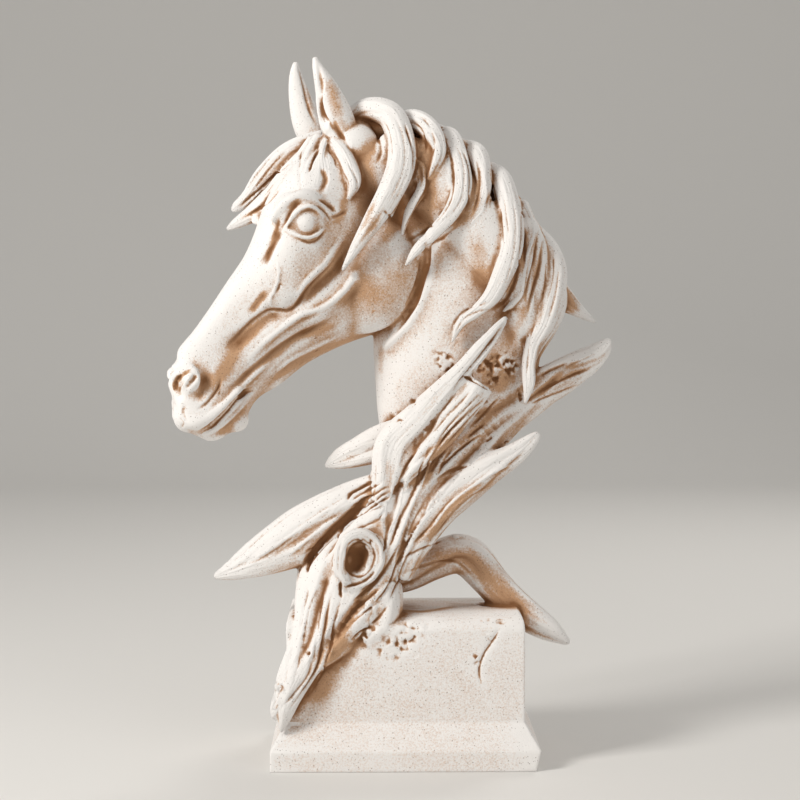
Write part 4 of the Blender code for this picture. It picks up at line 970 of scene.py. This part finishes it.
PITTED = [
    # pitted patches of wood
    ([(19, 242), (25, 238), (23, 229)], 6.5, 3.2),
    ([(6, 216), (5, 210)], 4, 2.2),
    ([(-7, 203), (0, 204)], 4, 2.2),
    ([(44, 236), (54, 236), (62, 238), (66, 229)], 7.5, 3.6),
    ([(49, 225), (60, 230)], 5, 3),
    ([(69, 221), (71, 214)], 3, 2.6),
    # chipped stone
    ([(-18, 67), (-7, 63), (0, 68), (6, 76), (16, 77)], 9, 2),
    ([(-27, 72), (-16, 74)], 4, 1.6),
    ([(45, 81), (63, 79)], 3, 1.2),
]

# Brown wash with painted shade; where the amount is negative, pale brushing with painted highlight: path, half
# width, amount
BRUSHED_AND_SHADED = [
    # ears: painted shade on their sides turned from the light and in the far ear's hollow, and a pale strip
    ([(-48, 414), (-43, 400), (-40, 385), (-37, 374)], 7, 0.8),
    ([(-61, 412), (-58, 400), (-55, 386)], 3, 0.6),
    ([(-55, 420), (-53, 403), (-52, 388), (-46, 376)], 3, -0.7),
    # behind the ear and down to the cheek
    ([(-28, 384), (-23, 370), (-23, 357), (-22, 339), (-21, 321), (-26, 306)], 9, 0.8),
    # cheek
    ([(-32, 288), (-20, 276), (-6, 276), (-1, 291), (-4, 306)], 17, 0.6),
    ([(-18, 285), (-17, 299)], 17, 0.3),
    # under the crest, tan as wash and as painted shade below the ridge
    ([(-37, 307), (-43, 296), (-53, 284), (-61, 274)], 4.5, 0.9),
    ([(-83, 266), (-93, 256), (-104, 242), (-114, 225), (-121, 214)], 6.5, 0.9),
    ([(-83, 281), (-89, 274), (-93, 268)], 3, 0.8),
    ([(-76, 321), (-79, 312), (-83, 302)], 2.6, 0.7),
    ([(-34, 266), (-50, 258), (-66, 253), (-78, 244), (-89, 236), (-99, 227)], 4, 0.8),
    # lower jaw and chin
    ([(-30, 253), (-48, 246), (-64, 238), (-78, 229), (-86, 221)], 4.5, 0.8),
    ([(-95, 213), (-101, 206), (-109, 197), (-119, 192)], 5.5, 0.7),
    # nostril
    ([(-139, 221), (-139, 225), (-135, 230), (-130, 233), (-126, 236)], 2.6, 1),
    # forelock
    ([(-67, 357), (-75, 345), (-83, 333)], 6, 0.8),
    ([(-86, 331), (-96, 326), (-104, 322)], 2, 0.6),
    ([(-52, 364), (-56, 357)], 2, 0.7),
    ([(-49, 354), (-47, 344)], 3.5, 0.6),
    ([(-36, 339), (-38, 327), (-44, 323)], 4, 0.8),
    # eye
    ([(-54, 325), (-56, 319)], 4.5, 0.5),
    # hollows of the mane, tan as wash and as painted shade
    ([(5, 379), (9, 367), (14, 345), (12, 329), (6, 314)], 9, 0.9),
    ([(0, 333), (-6, 321), (-15, 309)], 6, 0.7),
    ([(42, 356), (43, 339), (40, 328), (28, 317)], 5, 0.9),
    ([(12, 303), (10, 288), (5, 273)], 4, 0.8),
    # neck
    ([(42, 315), (46, 299), (47, 283)], 8, 0.5),
    ([(22, 306), (18, 288)], 5, 0.4),
    ([(73, 325), (72, 306), (66, 285), (60, 273)], 4.5, 0.8),
    ([(83, 312), (80, 294), (75, 276), (70, 262), (61, 249)], 5, 0.6),
    # the neck's rear bottom: painted shade
    ([(56, 246), (51, 235), (58, 225), (64, 239)], 9, 1),
    ([(-14, 249), (-15, 230)], 5, 0.5),
    # back spike
    ([(98, 282), (106, 268)], 7, 0.7),
    # wood: tan on the trunk's right side, the bough and plank undersides and the arch, as wash and as painted
    # shade
    ([(40, 203), (25, 188), (14, 173), (8, 160)], 9, 0.8),
    ([(58, 215), (49, 203), (40, 194), (28, 182)], 8, 0.7),
    ([(73, 215), (87, 225), (101, 231), (112, 238)], 9, 0.8),
    ([(53, 164), (41, 160), (29, 149), (19, 137), (6, 126)], 4.5, 0.9),
    ([(0, 109), (16, 118), (31, 123), (45, 114), (58, 99), (73, 85), (89, 72)], 15, 0.8),
    ([(-7, 118), (-15, 103), (-28, 89), (-37, 75), (-46, 57), (-56, 40), (-64, 29)], 6.5, 0.8),
    ([(-45, 88), (-50, 70), (-54, 53), (-63, 37)], 4, 0.6),
    ([(-12, 163), (-24, 155), (-34, 146), (-45, 135), (-56, 126), (-66, 119)], 5, 0.8),
    ([(-29, 118), (-28, 115)], 7, 0.8),
    ([(-9, 143), (-20, 139)], 3.5, 0.6),
    # pale wood, partly painted highlight on the tops and sides that face the light
    ([(-33, 185), (-12, 185), (-3, 191)], 12, -0.6),
    ([(2, 173), (-6, 152), (-16, 146)], 5, -0.5),
    ([(12, 155), (34, 167), (58, 180), (75, 191)], 6, -0.7),
    ([(-63, 94), (-67, 70), (-73, 46)], 6, -0.7),
    ([(-38, 118), (-36, 130), (-24, 135)], 3, -0.6),
    ([(61, 262), (46, 244), (31, 224), (16, 203), (0, 182)], 4, -0.6),
    ([(-45, 161), (-63, 146), (-87, 127), (-107, 115)], 7, -0.5),
    # plinth beside the root
    ([(-26, 75), (-39, 61), (-49, 43), (-58, 26)], 12, 0.8),
    # plinth top under the arch: painted shadow of the arch, with wash
    ([(-3, 87), (12, 86), (31, 89)], 5, 0.9),
]


def engrave(obj, strokes, both_sides=False, pitted=False):
    """Cuts strokes into the skin where the viewer sees them, smooth or as a rough patch of little pits.

    On the head each is cut on the far side too.
    """
    mesh = obj.data
    points, normals = mesh_points(mesh), mesh_normals(mesh)
    form = BVHTree.FromPolygons([v.co for v in mesh.vertices], [p.vertices for p in mesh.polygons])
    push = np.zeros(len(points))
    for path, half_width, depth in strokes:
        line = seen(form, path)
        push += stroke_push(points, line, half_width * MM) * depth * MM
        if both_sides:
            push += stroke_push(points, across_head(line), half_width * MM) * depth * MM
    if pitted:
        across, up = points[:, 0] / MM / PIT, points[:, 2] / MM / PIT
        push *= np.clip(noise(across, up, 61) + noise(across * 2.1, up * 2.1, 62) * 0.6 + 0.15, 0, 1)
    place_points(mesh, points - normals * push[:, None])


def seen(form, path):
    """The points of the form that the viewer sees along a path drawn on the plane y = 0."""
    eye = Vector(VIEWER) * MM
    hits = []
    for x, z, _ in spline([(x, z, 0) for x, z in path], STROKE_STEPS * len(path)):
        hit = form.ray_cast(eye, (Vector((x, 0, z)) * MM - eye).normalized())[0]
        if hit:
            hits.append(hit)
    return np.array(hits).reshape(-1, 3)


def noise(u, v, seed):
    """Smooth noise between -1 and 1 over a plane."""
    i, j = np.floor(u).astype(np.int64), np.floor(v).astype(np.int64)
    a, b = u - i, v - j
    a, b = a * a * (3 - 2 * a), b * b * (3 - 2 * b)

    def corner(di, dj):
        h = ((i + di) * 374761393 + (j + dj) * 668265263 + seed * 1442695041) & 0xFFFFFFFF
        h = ((h ^ (h >> 13)) * 1274126177) & 0xFFFFFFFF
        return ((h ^ (h >> 16)) & 0xFFFF) / 32767.5 - 1

    top = corner(0, 0) * (1 - a) + corner(1, 0) * a
    return top * (1 - b) + (corner(0, 1) * (1 - a) + corner(1, 1) * a) * b


def follow(points, sizes, steps=60):
    """Where each point lies on the limbs: which one, how far along it, the angle round it, and how close."""
    count = len(points)
    found = {"limb": np.full(count, -1), "along": np.zeros(count), "angle": np.zeros(count)}
    found["gap"], found["size"], found["length"] = np.full(count, 1e9), np.ones(count), np.ones(count)
    for n, stations in enumerate(sizes.values()):
        rows = spline(stations, steps)
        path, half_width, half_depth = rows[:, :3], rows[:, 3], rows[:, 4]
        ahead = np.gradient(path, axis=0)
        ahead /= np.linalg.norm(ahead, axis=1)[:, None]
        side = np.cross(ahead, (0.0, 1.0, 0.0))
        side /= np.linalg.norm(side, axis=1)[:, None]
        deep = np.cross(side, ahead)
        reach = max(half_width.max(), half_depth.max()) * 1.3 + 2
        near = np.flatnonzero(((points > path.min(0) - reach) & (points < path.max(0) + reach)).all(1))
        for some in np.array_split(near, max(1, len(near) // 20000)):
            p = points[some]
            nearest = ((p[:, None] - path[None]) ** 2).sum(2).argmin(1)
            d = p - path[nearest]
            spacing = np.linalg.norm(path[1] - path[0])
            across = (d * side[nearest]).sum(1) / np.maximum(half_width[nearest], 0.5)
            through = (d * deep[nearest]).sum(1) / np.maximum(half_depth[nearest], 0.5)
            size = np.minimum(half_width, half_depth)[nearest]
            gap = np.abs(np.hypot(across, through) - 1) * size
            on = (d * ahead[nearest]).sum(1) / spacing
            gap = gap + np.maximum(np.abs(on) - 1, 0) * spacing
            better = gap < found["gap"][some]
            chosen = some[better]
            found["gap"][chosen] = gap[better]
            found["limb"][chosen] = n
            found["along"][chosen] = ((nearest + np.clip(on, -0.5, 0.5)) / (steps - 1))[better]
            found["angle"][chosen] = np.arctan2(through, across)[better]
            found["size"][chosen] = size[better]
            found["length"][chosen] = spacing * (steps - 1)
    return found


def strands(on, spacing, wander, seed):
    """Fine ridges along the limbs, from -1 in the furrows to 1 on the crests."""
    around = on["angle"] / math.pi * max(round(math.pi * LIMB_RADIUS / spacing), 2)
    down = on["along"] * on["length"]
    drift = noise(down / wander, on["limb"] * 7.3, seed) * 0.9
    return noise(np.abs(around) + drift, down / wander * 0.6 + on["limb"] * 11.7, seed + 1)


def ridged(values):
    """Turns smooth swells into narrow furrows between rounded crests."""
    return 1 - 2 * np.clip(1 - np.abs(values) * 2.2, 0, 1)


def carve_fine(whole):
    """Hair along each lock and grain along each piece of wood, cut into the skin."""
    mesh = whole.data
    points, normals = mesh_points(mesh) / MM, mesh_normals(mesh)
    hair, wood = follow(points, HAIR), follow(points, WOOD)
    on_hair = np.clip(1.6 - hair["gap"] / 2, 0, 1) * (hair["gap"] < wood["gap"] + 1)
    on_wood = np.clip(1.5 - wood["gap"] / 2.5, 0, 1) * (1 - on_hair)
    on_wood *= np.clip((WOOD_TOP - points[:, 2]) / 10, 0, 1)
    on_wood *= points[:, 2] > 20
    thin = np.clip(hair["size"] / 4, 0.2, 1)
    push = on_hair * thin * (0.55 * strands(hair, 4.5, 60, 5) + 0.45 * strands(hair, 2.4, 50, 15))
    thin = np.clip(wood["size"] / 6, 0.35, 1)
    grain = 0.5 * ridged(strands(wood, 5.0, 45, 21)) + 0.35 * strands(wood, 2.4, 30, 33)
    grain += 1.0 * strands(wood, 9.0, 50, 47)
    push += on_wood * thin * grain
    place_points(mesh, (points + normals * push[:, None]) * MM)


def sculpt():
    """The whole casting as one fine skin."""
    head = fuse("Head", head_forms(), HEAD_VOXEL, HEAD_SOFTENING)
    carve(head, FACE_STROKES, both_sides=True)
    neck = fuse("Neck", neck_forms() + limbs(UNDER_MANE), HEAD_VOXEL, NECK_SOFTENING)
    flesh = fuse("Flesh", [head, neck], HEAD_VOXEL, FLESH_SOFTENING)
    wood = fuse("Driftwood", limbs(WOOD, lobes=WOOD_LOBES), HEAD_VOXEL, WOOD_SOFTENING)
    hair = limbs(HAIR)
    whole = fuse("Sculpture", [flesh, wood, plinth()] + hair + ears() + eyes(), WHOLE_VOXEL, WHOLE_SOFTENING)
    carve(whole, NECK_STROKES + WOOD_STROKES)
    carve_fine(whole)
    engrave(whole, FINE_FACE, both_sides=True)
    engrave(whole, FINE_HAIR + FINE_GRAIN)
    engrave(whole, PITTED, pitted=True)
    mesh = whole.data
    mesh.update()
    points = mesh_points(mesh)
    place_points(mesh, points + (around_each(mesh, points) - points) * SOFTEN)
    return whole


def lighten(obj, triangles):
    """Fewer triangles, kept where the form turns."""
    now = sum(len(p.vertices) - 2 for p in obj.data.polygons)
    reduce = obj.modifiers.new("Fewer faces", "DECIMATE")
    reduce.ratio = min(1.0, triangles / now)
    obj = settle(obj, "carved_casting")
    work = bmesh.new()
    work.from_mesh(obj.data)
    for _ in range(LONG_EDGE_ROUNDS):
        wide = [edge for edge in work.edges if edge.calc_length() > LONG_EDGE * MM]
        bmesh.ops.subdivide_edges(work, edges=wide, cuts=1)
        bmesh.ops.triangulate(work, faces=[face for face in work.faces if len(face.verts) > 3])
    work.to_mesh(obj.data)
    work.free()
    return obj


def shelter(form, points, normals):
    """The share of short rays from each point that meet the form again: most of them in a recess."""
    met, tried = np.zeros(len(points)), np.full(len(points), TINY)
    golden = math.pi * (3 - math.sqrt(5))
    for n in range(SHELTER_RAYS):
        up = 1 - 2 * (n + 0.5) / SHELTER_RAYS
        out = math.sqrt(1 - up * up)
        way = Vector((out * math.cos(golden * n), out * math.sin(golden * n), up))
        ahead = np.flatnonzero(normals @ np.array(way) > 0.25)
        starts = points[ahead] + normals[ahead] * 0.4 * MM
        tried[ahead] += 1
        met[ahead] += [form.ray_cast(start, way, SHELTER_REACH * MM)[0] is not None for start in starts]
    return met / tried


def around_each(mesh, values):
    """Each point's mean over its neighbours."""
    edges = np.empty(len(mesh.edges) * 2, np.int32)
    mesh.edges.foreach_get("vertices", edges)
    a, b = edges.reshape(-1, 2).T
    count = len(values)
    ends = np.bincount(a, minlength=count) + np.bincount(b, minlength=count)
    total = [np.bincount(a, v[b], count) + np.bincount(b, v[a], count) for v in values.T]
    return np.stack(total, 1) / ends[:, None]


def mark(obj):
    """Marks on each point: how hollow it is, how much wash and painted shade it holds, and where it lies along
    the grain.
    """
    mesh = obj.data
    points, normals = mesh_points(mesh), mesh_normals(mesh)
    form = BVHTree.FromPolygons([v.co for v in mesh.vertices], [p.vertices for p in mesh.polygons])
    # creases and sheltered recesses: wash gathers there, and they are darkened further as painted shade
    soft, hollow = points, np.zeros(len(points))
    for n in range(1, HOLLOW_REACH + 1):
        soft = around_each(mesh, soft)
        if n in HOLLOW_WEIGHTS:
            hollow += ((soft - points) * normals).sum(1) / MM * HOLLOW_WEIGHTS[n]
    hollow += shelter(form, points, normals) * SHELTER_WASH_AND_SHADE
    stone = np.clip((PLINTH_HEIGHT + 2 - points[:, 2] / MM) / 4, 0, 1)
    # painted shade on top of the wash: sides turned away from the lit, brushed side take tan, less on the
    # stone
    turned = WASH_AND_SHADE_BASE - WASH_AND_SHADE_TURN * (normals @ np.array(PALE_AND_LIT_SIDE))
    wash_and_shade = turned * (1 - stone * STONE_CLEAN)
    # strokes of brushed wash, painted shade and painted highlight
    for path, half_width, amount in BRUSHED_AND_SHADED:
        wash_and_shade += stroke_push(points, seen(form, path), half_width * MM) * amount * BRUSH_AND_SHADE_STRENGTH
    hair, wood = follow(points / MM, HAIR), follow(points / MM, WOOD)
    wood["limb"] = wood["limb"] + len(HAIR)
    chosen = {key: np.where(hair["gap"] < wood["gap"], hair[key], wood[key]) for key in hair}
    grain = np.stack([
        np.cos(chosen["angle"]) * LIMB_RADIUS, np.sin(chosen["angle"]) * LIMB_RADIUS,
        chosen["along"] * chosen["length"] / GRAIN_STRETCH + chosen["limb"] * 9.7,
    ], 1)
    fibrous = np.clip(1.4 - chosen["gap"] / 4, 0, 1) * (points[:, 2] > 0.02)
    for name, values in {"Hollow": hollow, "WashAndShade": wash_and_shade, "Fibrous": fibrous}.items():
        layer = mesh.attributes.new(name, "FLOAT", "POINT")
        layer.data.foreach_set("value", values.astype(np.float32))
    layer = mesh.attributes.new("Grain", "FLOAT_VECTOR", "POINT")
    layer.data.foreach_set("vector", grain.astype(np.float32).ravel())


class Nodes:
    """Short hands for a material's nodes."""

    def __init__(self, name):
        self.material = bpy.data.materials.new(name)
        self.material.use_nodes = True
        self.tree = self.material.node_tree
        self.shader = self.tree.nodes["Principled BSDF"]

    def add(self, kind, inputs=(), **settings):
        node = self.tree.nodes.new(kind)
        for key, value in settings.items():
            setattr(node, key, value)
        for key, value in dict(inputs).items():
            if isinstance(value, bpy.types.NodeSocket):
                self.tree.links.new(value, node.inputs[key])
            else:
                node.inputs[key].default_value = value
        return node

    def noise(self, scale, detail=2.0, roughness=0.5):
        return self.add("ShaderNodeTexNoise", {
            "Vector": self.where, "Scale": scale, "Detail": detail, "Roughness": roughness,
        }).outputs["Fac"]

    def maths(self, operation, a, b=0.0, clamp=False):
        return self.add("ShaderNodeMath", {0: a, 1: b}, operation=operation, use_clamp=clamp).outputs[0]

    def span(self, value, low, high):
        node = self.add("ShaderNodeMapRange", {"Value": value, "From Min": low, "From Max": high})
        return node.outputs["Result"]

    def mix(self, share, a, b):
        node = self.add("ShaderNodeMix", data_type="RGBA")
        for socket, value in ((node.inputs[0], share), (node.inputs[6], a), (node.inputs[7], b)):
            if isinstance(value, bpy.types.NodeSocket):
                self.tree.links.new(value, socket)
            else:
                socket.default_value = value
        return node.outputs[2]


def washed_resin_with_painted_shade():
    """Cream resin with a tan wash and painted shade in the hollows and on the sides turned from the light, and
    dark specks.
    """
    n = Nodes("washed_resin_with_painted_shade")
    n.where = n.add("ShaderNodeTexCoord").outputs["Object"]
    hollow = n.add("ShaderNodeAttribute", attribute_name="Hollow").outputs["Fac"]
    brushed_and_shaded = n.add("ShaderNodeAttribute", attribute_name="WashAndShade").outputs["Fac"]
    fibrous = n.add("ShaderNodeAttribute", attribute_name="Fibrous").outputs["Fac"]
    along = n.add("ShaderNodeAttribute", attribute_name="Grain").outputs["Vector"]
    fibre = n.add("ShaderNodeTexNoise", {"Vector": along, "Scale": 0.55, "Detail": 4.0}).outputs["Fac"]
    streak = n.maths("MULTIPLY", n.maths("SUBTRACT", fibre, 0.5), fibrous)
    patch = n.maths("SUBTRACT", n.noise(45, 4, 0.6), 0.5)
    sand = n.noise(1300, 2, 0.7)
    stipple = n.noise(900, 3, 0.75)
    # tan from the wash with its painted shade, more in the hollows as painted shade, and random patches
    wash_and_shade = n.maths("ADD", brushed_and_shaded, n.maths("MULTIPLY", hollow, 0.6))
    wash_and_shade = n.maths("ADD", wash_and_shade, n.maths("MULTIPLY", patch, 0.6))
    wash_and_shade = n.maths("SUBTRACT", wash_and_shade, n.maths("MULTIPLY", streak, 1.0))
    grainy = n.maths("ADD", wash_and_shade, n.maths("MULTIPLY", n.maths("SUBTRACT", stipple, 0.5), 2.2))
    colour = n.mix(n.span(grainy, -0.1, 1.0), PALE, TAN)
    # painted shade: hollows and shaded sides darken further to dark tan
    deep = n.maths("ADD", n.maths("MULTIPLY", hollow, 0.65), n.maths("MULTIPLY", brushed_and_shaded, 0.3))
    colour = n.mix(n.span(n.maths("SUBTRACT", deep, streak), 0.35, 1.6), colour, DARK_TAN)
    dust = n.maths("MULTIPLY", n.span(sand, 0.56, 0.75), n.span(wash_and_shade, -0.6, 1.0))
    colour = n.mix(n.maths("MULTIPLY", dust, 0.75), colour, DARK_TAN)
    dots = n.add("ShaderNodeTexVoronoi", {"Vector": n.where, "Scale": 560.0}).outputs["Distance"]
    some = n.span(n.noise(900, 1), 0.48, 0.56)
    spots = n.maths("MULTIPLY", n.span(dots, 0.24, 0.12), some)
    colour = n.mix(n.maths("MULTIPLY", spots, 0.7), colour, SPECK)
    n.tree.links.new(colour, n.shader.inputs["Base Color"])
    height = n.maths("ADD", n.maths("MULTIPLY", sand, 0.5), stipple)
    height = n.maths("ADD", height, n.maths("MULTIPLY", streak, 3.0))
    bump = n.add("ShaderNodeBump", {"Strength": 0.6, "Distance": 0.0006, "Height": height})
    n.tree.links.new(bump.outputs["Normal"], n.shader.inputs["Normal"])
    n.shader.inputs["Roughness"].default_value = 0.82
    n.shader.inputs["Specular IOR Level"].default_value = 0.25
    return n.material


def studio():
    """A pale floor that curves up behind, soft lights and the camera at the photograph's angle."""
    n = Nodes("pale_floor")
    n.shader.inputs["Base Color"].default_value = (0.72, 0.71, 0.69, 1)
    n.shader.inputs["Roughness"].default_value = 0.9
    bpy.ops.mesh.primitive_plane_add(size=1)
    floor = bpy.context.object
    floor.name = "floor"
    profile = [(-3, 0), (1.6, 0)]
    profile += [(1.6 + 0.8 * math.sin(t), 0.8 - 0.8 * math.cos(t)) for t in np.linspace(0.1, math.pi / 2, 12)]
    profile.append((2.4, 3.5))
    verts = [(x, y, z) for y, z in profile for x in (-4, 4)]
    faces = [(2 * k, 2 * k + 1, 2 * k + 3, 2 * k + 2) for k in range(len(profile) - 1)]
    mesh = bpy.data.meshes.new("floor")
    mesh.from_pydata(verts, [], faces)
    mesh.shade_smooth()
    mesh.materials.append(n.material)
    floor.data = mesh
    lights = (
        ("key", (-1.15, -0.8, 1.0), 19.5, 0.45), ("fill", (1.1, -1.3, 0.6), 4, 1.0),
        ("rim", (0.7, 1.0, 1.2), 6, 0.6),
    )
    for name, place, power, size in lights:
        data = bpy.data.lights.new(name, "AREA")
        data.energy, data.size = power, size
        data.color = (1.0, 0.97, 0.93)
        lamp = bpy.data.objects.new(name, data)
        lamp.location = place
        lamp.rotation_euler = (Vector((0, 0, 0.2)) - Vector(place)).to_track_quat("-Z", "Y").to_euler()
        bpy.context.scene.collection.objects.link(lamp)
    world = bpy.data.worlds.new("studio")
    world.use_nodes = True
    world.node_tree.nodes["Background"].inputs["Color"].default_value = (1, 0.98, 0.95, 1)
    world.node_tree.nodes["Background"].inputs["Strength"].default_value = 0.42
    bpy.context.scene.world = world
    bpy.context.scene.view_settings.view_transform = "Standard"
    data = bpy.data.cameras.new("camera")
    data.lens, data.sensor_width = 85.5, 36
    camera = bpy.data.objects.new("camera", data)
    camera.location = (-0.0196, -1.150, 0.280)
    camera.rotation_euler = (math.radians(90 - 3.223), 0, math.radians(-0.844))
    bpy.context.scene.collection.objects.link(camera)
    bpy.context.scene.camera = camera


def main():
    studio()
    piece = lighten(sculpt(), TRIANGLES)
    piece.data.shade_smooth()
    place_points(piece.data, np.clip(mesh_points(piece.data), *np.array(CAD_BOX)))
    mark(piece)
    piece.data.materials.clear()
    piece.data.materials.append(washed_resin_with_painted_shade())
    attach(piece, "root")
    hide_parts("horse_head_sculpture")


main()
